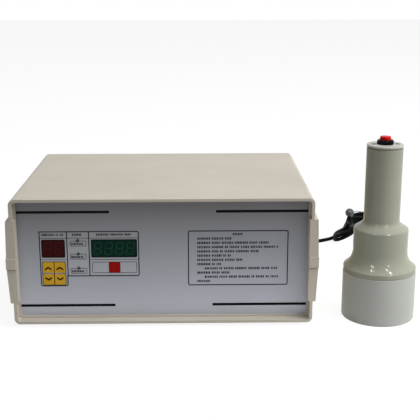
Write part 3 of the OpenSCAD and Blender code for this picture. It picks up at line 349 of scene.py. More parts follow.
def add_piece(name, bm, body, material, stands_for=(), sharp=32, weighted=False):
    """Turns a bmesh into a finished piece on its body, smooth except at its sharp edges."""
    bm.normal_update()
    for face in bm.faces:
        face.smooth = True
    for edge in bm.edges:
        edge.smooth = len(edge.link_faces) == 2 and edge.calc_face_angle(0) < math.radians(sharp)
    mesh = bpy.data.meshes.new(name)
    bm.to_mesh(mesh)
    bm.free()
    mesh.materials.append(material)
    made = bpy.data.objects.new(name, mesh)
    scene.collection.objects.link(made)
    if weighted:
        made.modifiers.new("flat_faces", "WEIGHTED_NORMAL").keep_sharp = True
    if stands_for:
        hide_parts(*stands_for)
    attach(made, body)
    return made


def width_of(face):
    """Rough width of a face: its area over its longest edge."""
    return face.calc_area() / max(edge.calc_length() for edge in face.edges)


def softened(node, width, material, body="unit", segments=2, angle=40):
    """A copy of a solid whose sharp edges are rounded, in place of the solid."""
    bm = bmesh.new()
    bm.from_mesh(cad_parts[node].data)
    bmesh.ops.remove_doubles(bm, verts=bm.verts, dist=MERGE_DISTANCE)
    bmesh.ops.dissolve_limit(bm, angle_limit=FLAT_ANGLE, verts=bm.verts, edges=bm.edges)
    narrow = NARROW_SHARE * width * MM
    edges = [edge for edge in bm.edges
             if len(edge.link_faces) == 2
             and edge.calc_face_angle(0) > math.radians(angle)
             and edge.calc_length() > narrow
             and min(width_of(face) for face in edge.link_faces) > narrow]
    round_edges(bm, edges, width, segments, clamp=True)
    return add_piece(node + "_finished", bm, body, material, (node,), weighted=True)


def add_block(bm, low, high):
    """A box between two corners."""
    size = high - low
    place = Matrix.Translation((low + high) / 2) @ Matrix.Diagonal((size.x, size.y, size.z, 1))
    bmesh.ops.create_cube(bm, size=1, matrix=place)


def round_edges(bm, edges, width, segments, clamp=False):
    bmesh.ops.bevel(bm, geom=edges, offset=width * MM, offset_type="OFFSET", segments=segments,
                    profile=0.5, affect="EDGES", material=-1, clamp_overlap=clamp)


def front_edges(bm, front):
    """The edges that lie in an upright plane at a given depth."""
    return [edge for edge in bm.edges if all(abs(vert.co.y - front) < SAME_PLACE for vert in edge.verts)]


def keep_rim(bm, width):
    """Cuts the middle out of a flat face and leaves a rim of a given width."""
    bm.normal_update()
    rim = bmesh.ops.inset_region(bm, faces=bm.faces[:], thickness=width * MM, use_boundary=True,
                                 use_even_offset=True)
    inside = [face for face in bm.faces if face not in rim["faces"]]
    bmesh.ops.delete(bm, geom=inside, context="FACES")


def thicken(bm, reach):
    """Gives a flat shape its thickness, along a vector."""
    made = bmesh.ops.extrude_face_region(bm, geom=bm.faces[:], use_keep_orig=True)["geom"]
    moved = [item for item in made if isinstance(item, bmesh.types.BMVert)]
    bmesh.ops.translate(bm, verts=moved, vec=reach)
    bmesh.ops.recalc_face_normals(bm, faces=bm.faces)


def ink_bar(bm, x0, x1, z0, z1, thick=INK_T):
    """A flat bar of print on the front panel."""
    add_block(bm, on_panel(x0, z0, thick), on_panel(x1, z1))


def raise_flat(bm, flat, thick):
    """Thickens a flat shape on the panel towards the front and adds it to a larger bmesh."""
    thicken(flat, Vector((0, -thick * MM, 0)))
    mesh = bpy.data.meshes.new("flat_shape")
    flat.to_mesh(mesh)
    flat.free()
    bm.from_mesh(mesh)
    bpy.data.meshes.remove(mesh)


def ink_shape(bm, corners, thick=INK_T, proud=0):
    """A flat printed shape with straight sides."""
    flat = bmesh.new()
    flat.faces.new([flat.verts.new(on_panel(x, z, proud)) for x, z in corners])
    raise_flat(bm, flat, thick)


def ink_outline(bm, corners, radius, line, square=()):
    """A printed line round an outline, whose corners are round apart from those named as square."""
    flat = bmesh.new()
    verts = [flat.verts.new(on_panel(x, z)) for x, z in corners]
    flat.faces.new(verts)
    rounded = [vert for number, vert in enumerate(verts) if number not in square]
    bmesh.ops.bevel(flat, geom=rounded, offset=radius * MM, offset_type="OFFSET", segments=5,
                    profile=0.5, affect="VERTICES", material=-1)
    keep_rim(flat, line)
    raise_flat(bm, flat, INK_T)


def box_corners(x0, x1, z0, z1):
    return ((x0, z0), (x1, z0), (x1, z1), (x0, z1))


def lathe(bm, outline, centre, steps, closed=True):
    """Turns an outline of (radius, height) points, in millimetres, about an upright axis."""
    verts = [bm.verts.new(centre + Vector((r * MM, 0, z * MM))) for r, z in outline]
    ends = verts[1:] + verts[:1] if closed else verts[1:]
    edges = [bm.edges.new(pair) for pair in zip(verts, ends)]
    bmesh.ops.spin(bm, geom=verts + edges, cent=centre, axis=(0, 0, 1), angle=2 * math.pi,
                   steps=steps, use_merge=True)
    bmesh.ops.remove_doubles(bm, verts=bm.verts, dist=MERGE_DISTANCE)
    bmesh.ops.recalc_face_normals(bm, faces=bm.faces)


def arc(across, up, radius, start, end, count):
    """Points of an arc in (radius, height), with its angles in degrees."""
    angles = [math.radians(start + (end - start) * i / count) for i in range(count + 1)]
    return [(across + radius * math.cos(a), up + radius * math.sin(a)) for a in angles]


def bezier(p0, p1, p2, p3, count):
    """Points of a cubic curve in (radius, height)."""
    points = []
    for i in range(count + 1):
        t = i / count
        s = 1 - t
        weights = (s ** 3, 3 * s * s * t, 3 * s * t * t, t ** 3)
        points.append(tuple(sum(w * p[k] for w, p in zip(weights, (p0, p1, p2, p3))) for k in (0, 1)))
    return points


# Lead: the points of its route in millimetres, from the case's gland to the head
LEAD_D = 5
CASE_RUN = (
    (60.25, 147.75, 38), (60.25, 159.25, 38), (62, 172, 34), (66.5, 183, 26), (74, 190.5, 16),
    (84, 193.5, 7.5), (96, 192, 3.2), (108, 188, 2.5), (121, 184, 2.5), (135, 182.5, 2.5),
    (149, 186, 2.5), (162, 192.5, 2.5), (172, 200, 2.5), (178.2, 208.9, 2.5), (184.6, 218.4, 2.6),
    (190.3, 227.6, 2.8), (195.1, 236.5, 3.1))
HEAD_RUN = (
    (203.4, 238.8, 13.2), (205.3, 232.1, 13.7), (207.9, 225.2, 12.5), (209.9, 218.4, 9.5),
    (210.5, 212, 6.3), (209.5, 204, 3.6), (208.5, 194, 2.6), (207.3, 182, 2.5), (206.3, 168, 2.5),
    (205.3, 154, 2.5), (205.5, 138, 2.5), (206.5, 120, 2.5), (206, 102, 2.5),
    (204, 84, 2.5), (201, 66, 3.2), (197.5, 50.5, 9), (193.5, 38.5, 21), (189.8, 29, 37),
    (186.5, 20.5, 53.5), (183.8, 11.5, 69), (182, 1.5, 80), (181.25, -10.45, 85), (181.25, -20.45, 85))

# Hank: where its near folds lie, its direction, its neck, tied waist and tail, and its folds
HANK_NEAR = Vector((188, 187, 0))
HANK_ANGLE = math.radians(75)
HANK_BEND = math.radians(56)
HANK_NECK, HANK_WAIST_END, HANK_FAR = 58, 80, 130
HANK_TILT = math.radians(28)
NEAR_R, NEAR_LOW = 15, 4.5
FAR_R = (20, 15, 17.5)
FAR_Z = (2.5, 2.5, 7.3)
WAIST_Z = 3.5
ROW_H = LEAD_D * math.sqrt(3) / 2
TOP_RUN_LIFT = 9.2
RUN_STEPS, FOLD_STEPS = 8, 10
HANK_RUNS = 6


def ease(share):
    """A share of the way that starts and ends softly."""
    return 0.5 - 0.5 * math.cos(math.pi * share)


def hank_route():
    """Points of the hank's runs and folds, along it, across it and up, in millimetres."""
    waist = ((-LEAD_D, WAIST_Z), (LEAD_D, WAIST_Z), (0, WAIST_Z), (LEAD_D / 2, WAIST_Z + ROW_H),
             (-LEAD_D / 2, WAIST_Z + ROW_H), (0, WAIST_Z + TOP_RUN_LIFT))
    lift = LEAD_D / math.cos(HANK_TILT)
    half = NEAR_R * math.cos(HANK_TILT)
    left = (-half, NEAR_LOW)
    right = (half, NEAR_LOW + 2 * NEAR_R * math.sin(HANK_TILT))
    near = (None, right, left, (right[0], right[1] + lift), (left[0], left[1] + lift), None)
    points = []
    for run in range(HANK_RUNS):
        side = 1 if run % 2 else -1
        far = (side * FAR_R[run // 2], FAR_Z[run // 2])
        tail = HANK_FAR - HANK_WAIST_END
        along = [HANK_NECK, (HANK_NECK + HANK_WAIST_END) / 2]
        along += [HANK_WAIST_END + tail * k / RUN_STEPS for k in range(RUN_STEPS + 1)]
        if near[run]:
            along = [HANK_NECK * k / RUN_STEPS for k in range(RUN_STEPS)] + along
        stretch = []
        for u in along:
            end, share = waist[run], 0
            if u < HANK_NECK:
                end, share = near[run], ease(1 - u / HANK_NECK)
            elif u > HANK_WAIST_END:
                end, share = far, ease((u - HANK_WAIST_END) / tail)
            across = waist[run][0] + (end[0] - waist[run][0]) * share
            up = waist[run][1] + (end[1] - waist[run][1]) * share
            stretch.append(Vector((u, across, up)))
        if run % 2:
            stretch.reverse()
        if points:
            points += fold_points(points[-1], stretch[0], side)
        points += stretch
    return points


def fold_points(start, end, side):
    """Half a turn between two neighbouring runs."""
    middle, reach = (start + end) / 2, (start - end) / 2
    bulge = side * math.hypot(reach.y, reach.z)
    angles = [math.pi * k / FOLD_STEPS for k in range(1, FOLD_STEPS)]
    return [middle + Vector((bulge * math.sin(a), reach.y * math.cos(a), reach.z * math.cos(a)))
            for a in angles]


def on_hank(point):
    """A point of the hank in the whole object. The hank's tail lies in an arc after its waist."""
    along, across = point.x, point.y
    if point.x > HANK_WAIST_END:
        tail = HANK_FAR - HANK_WAIST_END
        arc_r = tail / HANK_BEND
        turn = min(point.x - HANK_WAIST_END, tail) / arc_r
        past = max(point.x - HANK_FAR, 0)
        along = HANK_WAIST_END + (arc_r - point.y) * math.sin(turn) + past * math.cos(turn)
        across = arc_r - (arc_r - point.y) * math.cos(turn) + past * math.sin(turn)
    onward = Vector((math.cos(HANK_ANGLE), math.sin(HANK_ANGLE), 0))
    aside = Vector((math.sin(HANK_ANGLE), -math.cos(HANK_ANGLE), 0))
    return HANK_NEAR + onward * along + aside * across + Vector((0, 0, point.z))


def make_lead():
    route = [Vector(p) for p in CASE_RUN] + [on_hank(p) for p in hank_route()] + [Vector(p) for p in HEAD_RUN]
    curve = bpy.data.curves.new("sealing_lead", "CURVE")
    curve.dimensions = "3D"
    curve.bevel_depth = LEAD_D / 2 * MM
    curve.bevel_resolution = 5
    curve.resolution_u = 5
    curve.use_fill_caps = True
    spline = curve.splines.new("BEZIER")
    spline.bezier_points.add(len(route) - 1)
    for knot, point in zip(spline.bezier_points, route):
        knot.co = point * MM
        knot.handle_left_type = knot.handle_right_type = "AUTO"
    curve.materials.append(lead_black)
    lead = bpy.data.objects.new("sealing_lead", curve)
    scene.collection.objects.link(lead)
    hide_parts("lead_case_run", "lead_hank", "lead_head_run")
    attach(lead, "unit")
    return lead, [p * MM for p in route]


# Rubber tie round the hank's waist: a tight band, a ball on a neck and a thin wire end
BAND_R, BAND_T, BAND_W = 3.4, 0.9, 7
BAND_SLOPE = math.degrees(math.atan2(LEAD_D, TOP_RUN_LIFT))
BALL_R, BALL_CUT = 6.4, -62
NECK_R, NECK_FOOT_R, NECK_LOW, NECK_REACH = 3, 4.4, 14.5, 0.8
WIRE_R, WIRE_CURL, WIRE_TURN = 0.5, 10, 130
WIRE_START = Vector((70, 2, 18.3))
TIE_MIDDLE = (HANK_NECK + HANK_WAIST_END) / 2
NECK_STEPS, BALL_STEPS, WIRE_SIDES, WIRE_STEPS = 32, 40, 8, 14


def make_band():
    """The band's outline follows the lead's outermost runs, three of them in a triangle."""
    bm = bmesh.new()
    outline = arc(LEAD_D, WAIST_Z, BAND_R, -90, BAND_SLOPE, 6)
    outline += arc(0, WAIST_Z + TOP_RUN_LIFT, BAND_R, BAND_SLOPE, 180 - BAND_SLOPE, 8)
    outline += arc(-LEAD_D, WAIST_Z, BAND_R, 180 - BAND_SLOPE, 270, 6)
    near = TIE_MIDDLE - BAND_W / 2
    bm.faces.new([bm.verts.new(on_hank(Vector((near, across, up))) * MM) for across, up in outline])
    keep_rim(bm, BAND_T)
    thicken(bm, (on_hank(Vector((near + BAND_W, 0, 0))) - on_hank(Vector((near, 0, 0)))) * MM)
    return add_piece("hank_tie_band", bm, "unit", lead_black, ("hank_tie",))


def make_ball():
    """The ball and the neck that carries it."""
    foot = on_hank(Vector((TIE_MIDDLE, 0, 0))) * MM
    ball_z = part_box("hank_tie")[1].z / MM - BALL_R
    neck_top = ball_z - BALL_R * NECK_REACH
    bm = bmesh.new()
    outline = [(0, NECK_LOW), (NECK_FOOT_R, NECK_LOW), (NECK_R, neck_top), (0, neck_top)]
    lathe(bm, outline, foot, NECK_STEPS, closed=False)
    neck = add_piece("hank_tie_neck", bm, "unit", lead_black)
    bm = bmesh.new()
    lathe(bm, [(0, neck_top)] + arc(0, ball_z, BALL_R, BALL_CUT, 90, 16), foot, BALL_STEPS, closed=False)
    ball = add_piece("hank_tie_ball", bm, "unit", tie_grey)
    return neck, ball


def make_wire():
    """A thin round wire that rises from the neck and curls over to the hank's side."""
    bm = bmesh.new()
    side = Vector((math.sin(HANK_ANGLE), -math.cos(HANK_ANGLE), 0))
    place = on_hank(WIRE_START) * MM
    bmesh.ops.create_circle(bm, cap_ends=True, segments=WIRE_SIDES, radius=WIRE_R * MM,
                            matrix=Matrix.Translation(place))
    bmesh.ops.spin(bm, geom=bm.faces[:], cent=place + side * WIRE_CURL * MM,
                   axis=side.cross(Vector((0, 0, 1))), steps=WIRE_STEPS, angle=-math.radians(WIRE_TURN),
                   use_merge=False)
    bmesh.ops.recalc_face_normals(bm, faces=bm.faces)
    return add_piece("hank_tie_wire", bm, "unit", twist_wire)


make_camera()
lead, lead_route = make_lead()
make_band()
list(make_ball())
make_wire()


# Case: painted shadow under each rail's band, a thin dark strip: where it starts and ends, and its depth
RAIL_SHADOW_X, RAIL_SHADOW_Z, RAIL_SHADOW_T = (155.5, 164.3), (61.1, 62), 0.1


def make_painted_rail_shadows():
    bm = bmesh.new()
    for side in (-1, 1):
        inner, outer = sorted(side * x for x in RAIL_SHADOW_X)
        add_block(bm, on_case(inner, -RAIL_SHADOW_T, RAIL_SHADOW_Z[0]), on_case(outer, RAIL_SHADOW_T, RAIL_SHADOW_Z[1]))
    add_piece("painted_rail_shadow_lines", bm, "unit", painted_rail_shadow)


softened("lower_shell", 1.0, case_plastic, segments=3)
softened("upper_shell", 1.0, case_plastic, segments=3)
make_painted_rail_shadows()
softened("rubber_feet", 0.8, foot_rubber, segments=3)
softened("front_panel", 0.15, panel_film)
softened("rear_panel", 0.2, rear_film)


# Print on the front panel
NOTE_TOP_GAP, NOTE_ROW_PITCH = 4.2, 4.78
NOTE_ROWS = ((48, 60), (10, 48), (10, 88), (10, 98), (10, 76), (10, 46), (10, 59), (10, 37), (18, 97),
             (10, 46), (18, 98), (10, 26))
NOTE_MARK_H, NOTE_MARK_W, NOTE_MARK_GAP = 2.7, 1.35, 0.45
HEADER_ROWS = ((-129, -106), (-96.5, -85), (-71, -33))
HEADER_MARK_H = 2.6
LABEL_MARK_H = 2.5
LENS_RIM_LAP = 0.1
WORD_SHORTEST, WORD_LONGEST = 2, 8
MARK_SEED, MARK_LOWEST, MARK_NARROWEST = 3, 0.82, 0.75


def mark_row(bm, x0, x1, z, height, pick):
    """A row of plain blocks in groups, where small print would be."""
    to_come = WORD_LONGEST
    x = x0
    scale = height / NOTE_MARK_H
    width = NOTE_MARK_W * scale
    gap = NOTE_MARK_GAP * scale
    while x + width <= x1:
        if to_come == 0:
            to_come = pick.randint(WORD_SHORTEST, WORD_LONGEST)
            x += width
            continue
        tall = height * pick.uniform(MARK_LOWEST, 1)
        ink_bar(bm, x, x + width * pick.uniform(MARK_NARROWEST, 1), z - tall / 2, z + tall / 2)
        x += width + gap
        to_come -= 1


def edge_corners(low, high, margin):
    """Corners on the panel a margin outside a solid's box."""
    return box_corners((low.x - CASE_X) / MM - margin, (high.x - CASE_X) / MM + margin,
                       (low.z - CASE_BOTTOM) / MM - margin, (high.z - CASE_BOTTOM) / MM + margin)


def make_print():
    bars = bmesh.new()
    for side in (-1, 1):
        for z, inner in ((TOP_BAR_Z, TITLE_HALF), (LOW_BAR_Z, FOOT_TITLE_HALF)):
            near, far = sorted((side * inner, side * BAR_END))
            ink_bar(bars, near, far, z - BAR_H / 2, z + BAR_H / 2)
    add_piece("panel_bars", bars, "unit", ink_black, ("panel_print",))

    lines = bmesh.new()
    ink_outline(lines, ((GROUP_LEFT, GROUP_TOP), (GROUP_LEFT, GROUP_LOW), (FAULT_LEFT, GROUP_LOW),
                        (FAULT_LEFT, COUNT_LOW), (GROUP_RIGHT, COUNT_LOW), (GROUP_RIGHT, GROUP_TOP)),
                FRAME_R, LINE_W, square=(0, 3))
    ink_outline(lines, box_corners(NOTE_LEFT, NOTE_RIGHT, GROUP_LOW, GROUP_TOP), FRAME_R, LINE_W)
    for x in (FAULT_LEFT, COUNT_LEFT):
        ink_bar(lines, x - LINE_W / 2, x + LINE_W / 2, COUNT_LOW + LINE_W, GROUP_TOP - LINE_W)
    for x0, x1, z in ((GROUP_LEFT, GROUP_RIGHT, HEADER_Z), (GROUP_LEFT, FAULT_LEFT, DIVIDER_Z),
                      (COUNT_LEFT, GROUP_RIGHT, DIVIDER_Z)):
        ink_bar(lines, x0 + LINE_W, x1 - LINE_W, z - FINE_LINE_W / 2, z + FINE_LINE_W / 2, FINE_INK_T)
    ink_outline(lines, box_corners(CLEAR_MID - CLEAR_W / 2, CLEAR_MID + CLEAR_W / 2,
                                   CLEAR_Z - CLEAR_H / 2, CLEAR_Z + CLEAR_H / 2), CLEAR_R, FINE_LINE_W)
    for z in FAULT_Z:
        ink_outline(lines, box_corners(FAULT_MID - FAULT_BOX_W / 2, FAULT_MID + FAULT_BOX_W / 2,
                                       z - FAULT_BOX_H, z), FAULT_BOX_R, FINE_LINE_W)
    keys_low, keys_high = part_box("down_key_left")[0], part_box("up_key_right")[1]
    ink_outline(lines, edge_corners(keys_low, keys_high, KEY_LINE_W), KEY_FRAME_R, KEY_LINE_W)
    add_piece("panel_lines", lines, "unit", ink_grey)

    rims = bmesh.new()
    for display in ("red_display", "green_display"):
        ink_outline(rims, edge_corners(*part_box(display), LENS_RIM_W), LENS_FRAME_R, LENS_RIM_W + LENS_RIM_LAP)
    add_piece("panel_lens_rims", rims, "unit", ink_black)

    marks = bmesh.new()
    pick = random.Random(MARK_SEED)
    for number, (x0, x1) in enumerate(NOTE_ROWS):
        z = GROUP_TOP - NOTE_TOP_GAP - number * NOTE_ROW_PITCH
        mark_row(marks, NOTE_LEFT + x0, NOTE_LEFT + x1, z, NOTE_MARK_H, pick)
    for x0, x1 in HEADER_ROWS:
        mark_row(marks, x0, x1, (GROUP_TOP + HEADER_Z) / 2, HEADER_MARK_H, pick)
    for z in FAULT_Z:
        mark_row(marks, FAULT_MID - FAULT_LABEL_HALF, FAULT_MID + FAULT_LABEL_HALF, z - FAULT_LABEL_DROP,
                 LABEL_MARK_H, pick)
    add_piece("panel_marks", marks, "unit", ink_grey)


make_print()


# Displays
DIGIT_H, DIGIT_W, DIGIT_SLANT, DIGIT_MARGIN = 13.2, 7.2, math.radians(8), 0.15
SEGMENT_W, SEGMENT_GAP = 1.5, 0.225
DIGIT_PROUD = 0.04
LENS_R, LENS_EDGE = 1.0, 0.3


def segment_corners(x, z, length, upright):
    """Corners of one bar of a digit, pointed at both ends."""
    half, side = length / 2 - SEGMENT_GAP, SEGMENT_W / 2
    flat = ((-half, 0), (-half + side, side), (half - side, side), (half, 0), (half - side, -side),
            (-half + side, -side))
    return [(x + b, z + a) if upright else (x + a, z + b) for a, b in flat]


def make_display(node, digits, lens, digit):
    """A dark lens with the unlit segments of its digits."""
    low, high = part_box(node)
    bm = bmesh.new()
    add_block(bm, low, high)
    deep = [edge for edge in bm.edges if abs(edge.verts[0].co.y - edge.verts[1].co.y) > LENS_R * MM]
    round_edges(bm, deep, LENS_R, 4)
    round_edges(bm, front_edges(bm, low.y), LENS_EDGE, 2)
    add_piece(node + "_lens", bm, "unit", lens, (node,), weighted=True)

    bm = bmesh.new()
    proud = (PANEL_FACE - low.y) / MM
    middle_x = ((low.x + high.x) / 2 - CASE_X) / MM
    middle_z = ((low.z + high.z) / 2 - CASE_BOTTOM) / MM
    pitch = (high.x - low.x) / MM / (digits + DIGIT_MARGIN)
    for number in range(digits):
        x = middle_x + (number - (digits - 1) / 2) * pitch
        half = DIGIT_H / 2
        bars = [(x, middle_z + up * half, DIGIT_W, False) for up in (-1, 0, 1)]
        bars += [(x + side * DIGIT_W / 2, middle_z + up * half / 2, half, True)
                 for side in (-1, 1) for up in (-1, 1)]
        for bar_x, bar_z, length, upright in bars:
            corners = segment_corners(bar_x, bar_z, length, upright)
            slanted = [(cx + (cz - middle_z) * math.tan(DIGIT_SLANT), cz) for cx, cz in corners]
            ink_shape(bm, slanted, DIGIT_PROUD, proud)
    add_piece(node + "_digits", bm, "unit", digit)


make_display("red_display", 2, red_lens, red_digit)
make_display("green_display", 4, green_lens, green_digit)
softened("fault_lights", 0.1, light_lens, angle=60)


# Keys
KEY_BODIES = {"up_key_left": "up_left", "up_key_right": "up_right", "down_key_left": "down_left",
              "down_key_right": "down_right"}
ARROW_HALF, ARROW_RISE, ARROW_STROKE = 3.6, 2.4, 2.1
ARROW_T = 0.08
GAP_PLAY = 0.12
KEY_CORNER, KEY_EDGE = 1.6, 0.25
GAP_STRIP_T = 1.2


def make_key(key, body, low, high):
    """A flat key whose corner at the block's outside is round."""
    bm = bmesh.new()
    add_block(bm, low, high)
    outer_x = low.x if key.endswith("left") else high.x
    outer_z = high.z if key.startswith("up") else low.z
    deep = [edge for edge in bm.edges
            if all(abs(vert.co.x - outer_x) + abs(vert.co.z - outer_z) < SAME_PLACE for vert in edge.verts)]
    round_edges(bm, deep, KEY_CORNER, 5)
    round_edges(bm, front_edges(bm, low.y), KEY_EDGE, 2)
    add_piece(key + "_finished", bm, body, yellow_key, (key,), weighted=True)


def make_keys():
    for key, body in KEY_BODIES.items():
        low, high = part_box(key)
        make_key(key, body, low, high)
        x = ((low.x + high.x) / 2 - CASE_X) / MM
        z = ((low.z + high.z) / 2 - CASE_BOTTOM) / MM
        point = 1 if key.startswith("up") else -1
        foot, tip = z - point * ARROW_RISE / 2, z + point * ARROW_RISE / 2
        inner = -point * ARROW_STROKE
        bm = bmesh.new()
        ink_shape(bm, ((x - ARROW_HALF, foot), (x, tip), (x + ARROW_HALF, foot),
                       (x + ARROW_HALF, foot + inner), (x, tip + inner), (x - ARROW_HALF, foot + inner)),
                  ARROW_T, (PANEL_FACE - low.y) / MM)
        add_piece(key + "_arrow", bm, body, key_arrow)
    softened("clear_key", 0.3, red_key, "clear")

    left_low, left_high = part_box("down_key_left")
    right_low, right_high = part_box("up_key_right")
    play, thick = GAP_PLAY * MM, GAP_STRIP_T * MM
    strip = bmesh.new()
    add_block(strip, Vector((left_high.x + play, PANEL_FACE, left_low.z)),
              Vector((right_low.x - play, PANEL_FACE + thick, right_high.z)))
    add_piece("key_gap_strip", strip, "unit", key_gap)
    strip = bmesh.new()
    for x0, x1 in ((left_low.x, left_high.x), (right_low.x, right_high.x)):
        add_block(strip, Vector((x0, PANEL_FACE, left_high.z + play)),
                  Vector((x1, PANEL_FACE + thick, right_low.z - play)))
    add_piece("key_row_strips", strip, "unit", pale_line)


make_keys()


# Sealing head
HEAD_STEPS = 144
CUP_R, CUP_TOP, CUP_BORE_R, CUP_BORE_TOP, CUP_WALL_R = 39.6, 52.5, 33, 8, 36.5
RIM_R, WAIST_R, HANDLE_R, CAP_SEAT_R = 39.3, 29.5, 19.4, 17.5
HANDLE_TOP = 190.5


def make_head():
    """The head's body: a rim on the cup, a flare, a waist, a shoulder and the handle, as a turned shell."""
    outer = [(38.8, CUP_TOP), (38.8, 53), (RIM_R, 53.5)]
    outer += arc(RIM_R - 1, 57.6, 1, 0, 55, 6)
    outer += bezier((38.87, 58.42), (34, 61.8), (WAIST_R, 66.5), (WAIST_R, 77), 24)[1:]
    outer += arc(WAIST_R - 2.5, 99.3, 2.5, 0, 55, 8)
    outer += bezier((28.43, 101.35), (23.9, 104.5), (HANDLE_R, 105.8), (HANDLE_R, 111), 20)[1:]
    outer += [(HANDLE_R, 188.9), (CAP_SEAT_R, 189.2), (CAP_SEAT_R, HANDLE_TOP)]
    inner = [(16.4, HANDLE_TOP), (16.4, 103), (26.8, 92), (26.8, 73), (33.3, 55.5), (33.3, 46.5),
             (36.3, 46.5), (36.3, CUP_TOP)]
    bm = bmesh.new()
    lathe(bm, outer + inner, HEAD_AXIS, HEAD_STEPS)
    add_piece("head_body_finished", bm, "unit", head_gloss, ("head_body",))


def make_cup():
    """The cup round the coil, rounded at its foot and its top."""
    outline = [(CUP_BORE_R, 0.4)] + arc(CUP_R - 1.5, 1.5, 1.5, -90, 0, 8)
    outline += arc(CUP_R - 0.8, CUP_TOP - 0.8, 0.8, 0, 90, 4)
    outline += [(CUP_WALL_R, CUP_TOP), (CUP_WALL_R, CUP_BORE_TOP), (CUP_BORE_R, CUP_BORE_TOP)]
    bm = bmesh.new()
    lathe(bm, outline, HEAD_AXIS, HEAD_STEPS)
    add_piece("coil_cup_finished", bm, "unit", cup_grey, ("coil_cup",))


def make_head_fittings():
    softened("handle_cap", 0.25, cap_grey)
    softened("cap_screws", 0.12, screw_painted_shade)
    softened("button_collar", 0.15, collar_black)
    softened("trigger_button", 0.3, button_red, "button")
    softened("head_strain_relief", 0.2, lead_black)


def make_spring():
    """The button's spring, which shortens as the button goes down."""
    bm = bmesh.new()
    bm.from_mesh(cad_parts["button_spring"].data)
    bmesh.ops.remove_doubles(bm, verts=bm.verts, dist=MERGE_DISTANCE)
    spring = add_piece("button_spring_coil", bm, "unit", screw_steel, ("button_spring",),
                       sharp=70)
    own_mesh(spring)


make_head()
make_cup()
make_head_fittings()
make_spring()


# Rear panel

def make_rear():
    softened("fan_rotor", 0.25, black_plastic, "rotor")
    softened("fan_guard", 0.15, guard_chrome, angle=60)
    softened("fan_screws", 0.2, screw_steel)
    softened("power_inlet", 0.4, black_plastic)
    softened("switch_housing", 0.4, black_plastic)
    softened("power_rocker", 0.3, rocker_red, "rocker")
    softened("lead_gland", 0.3, black_plastic)
    softened("case_strain_relief", 0.2, lead_black)


make_rear()

# Finishes of the solids that keep their own shape
CAD_FINISHES = {
    screw_steel: ("case_screws", "board_screws", "inner_screws", "board_standoffs", "button_nut",
                  "inlet_pins"),
    circuit_board: ("display_board", "main_board"),
    black_plastic: ("key_switches", "fan_frame", "power_transistors", "bridge_rectifier", "gland_nut"),
    core_iron: ("output_core", "control_core", "ferrite_core"),
    winding_copper: ("output_winding", "sealing_coil"),
    winding_tape: ("control_winding",),
    sink_aluminium: ("heat_sink",),
    capacitor_blue: ("filter_capacitors",),
    capacitor_film: ("resonant_capacitor",),
    sealing_face: ("sealing_plate",)}
for material, nodes in CAD_FINISHES.items():
    for node in nodes:
        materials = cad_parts[node].data.materials
        materials.clear()
        materials.append(material)


# Floor, background and light
FLOOR_HALF = 6
SHEET_MARGIN = 0.2
SHEET_BOUNCE, FLOOR_BOUNCE = 0.7, 0.1
FLOOR_SEEN = 0.18
FLOOR_GLOW = 0.9
FLOOR_DROP = 0.5 * MM
AMBIENT = 0.16


def seen_rays(tree):
    """1 for rays from the camera, a reflection or through glass, and 0 for rays that carry light."""
    path = tree.nodes.new("ShaderNodeLightPath")
    first = math_node(tree, "MAXIMUM", path.outputs["Is Camera Ray"], path.outputs["Is Glossy Ray"])
    return math_node(tree, "MAXIMUM", first, path.outputs["Is Transmission Ray"])


def make_floor(name, low, high, lightness):
    """A pale level sheet between two corners. Its lightness is what it sends back onto the object."""
    bm = bmesh.new()
    bmesh.ops.create_grid(bm, x_segments=1, y_segments=1, size=0.5)
    place = Matrix.Translation((low + high) / 2) @ Matrix.Diagonal((high.x - low.x, high.y - low.y, 1, 1))
    bmesh.ops.transform(bm, matrix=place, verts=bm.verts)
    mesh = bpy.data.meshes.new(name)
    bm.to_mesh(mesh)
    bm.free()
    floor = bpy.data.objects.new(name, mesh)
    scene.collection.objects.link(floor)
    pale = bpy.data.materials.new(name)
    pale.use_nodes = True
    tree = pale.node_tree
    tree.nodes.clear()
    output = tree.nodes.new("ShaderNodeOutputMaterial")
    bounce = tree.nodes.new("ShaderNodeBsdfDiffuse")
    seen = tree.nodes.new("ShaderNodeBsdfDiffuse")
    glow = tree.nodes.new("ShaderNodeEmission")
    both = tree.nodes.new("ShaderNodeAddShader")
    mix = tree.nodes.new("ShaderNodeMixShader")
    for socket, given in (
            (bounce.inputs["Color"], (lightness, lightness, lightness, 1)),
            (seen.inputs["Color"], (FLOOR_SEEN, FLOOR_SEEN, FLOOR_SEEN, 1)),
            (glow.inputs["Strength"], FLOOR_GLOW), (both.inputs[0], seen.outputs[0]),
            (both.inputs[1], glow.outputs[0]), (mix.inputs[0], seen_rays(tree)),
            (mix.inputs[1], bounce.outputs[0]), (mix.inputs[2], both.outputs[0]),
            (output.inputs[0], mix.outputs[0])):
        set_socket(tree, socket, given)
    mesh.materials.append(pale)


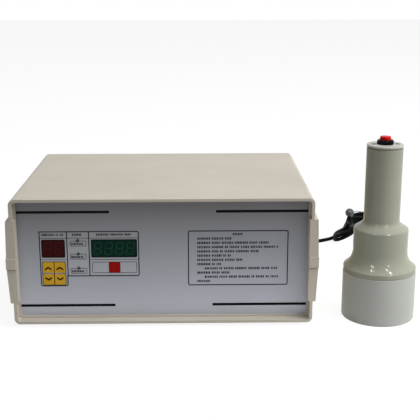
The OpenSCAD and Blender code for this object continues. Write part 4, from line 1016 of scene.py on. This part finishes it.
def make_world():
    world = bpy.data.worlds.new("studio")
    scene.world = world
    world.use_nodes = True
    tree = world.node_tree
    background = tree.nodes["Background"]
    background.inputs["Color"].default_value = (1, 1, 1, 1)
    strength = range_node(tree, seen_rays(tree), 0, 1, AMBIENT, 1)
    tree.links.new(strength, background.inputs["Strength"])


# Soft lamp overhead and weaker one at the right: place, size and power
KEY_PLACE, KEY_SIZE, KEY_POWER = (1.25, -0.48, 2.2), 2.4, 57
WASH_PLACE, WASH_SIZE, WASH_POWER = (0.75, -0.35, 0.4), 0.3, 1.6

# Small lamps that only show as glints on gloss: their directions from the head, distance, size and power
GLINT_LAMPS = ((0.36, -0.8, 0.5), (0.35, -0.2, 0.92), (0.25, -0.5, 0.83),
               (-0.5, -0.57, 0.65), (-0.33, -0.24, 0.91))
GLINT_REACH, GLINT_SIZE, GLINT_POWER = 2, 0.2, 6


def add_lamp(name, place, shape, size, power):
    """A flat lamp that faces the head's foot."""
    lamp = bpy.data.lights.new(name, "AREA")
    lamp.shape = shape
    lamp.size = size
    lamp.energy = power
    made = bpy.data.objects.new(name, lamp)
    turn = (HEAD_AXIS - Vector(place)).to_track_quat("-Z", "Y").to_matrix().to_4x4()
    made.matrix_world = Matrix.Translation(Vector(place)) @ turn
    scene.collection.objects.link(made)
    return made


def make_light():
    add_lamp("key", KEY_PLACE, "SQUARE", KEY_SIZE, KEY_POWER).visible_glossy = False
    add_lamp("right_wash", WASH_PLACE, "SQUARE", WASH_SIZE, WASH_POWER).visible_glossy = False
    for x, y, z in GLINT_LAMPS:
        place = HEAD_AXIS + Vector((x, y, z)) * GLINT_REACH
        add_lamp("glint", place, "DISK", GLINT_SIZE, GLINT_POWER).visible_diffuse = False


sheet_low, sheet_high = (Vector((corner[0], corner[1], 0)) for corner in cad_bounds)
margin = Vector((SHEET_MARGIN, SHEET_MARGIN, 0))
reach = Vector((FLOOR_HALF, FLOOR_HALF, 0))
drop = Vector((0, 0, FLOOR_DROP))
make_floor("pale_sheet", sheet_low - margin, sheet_high + margin, SHEET_BOUNCE)
make_floor("pale_floor", -reach - drop, reach - drop, FLOOR_BOUNCE)
make_world()
make_light()

scene.view_settings.view_transform = "Standard"
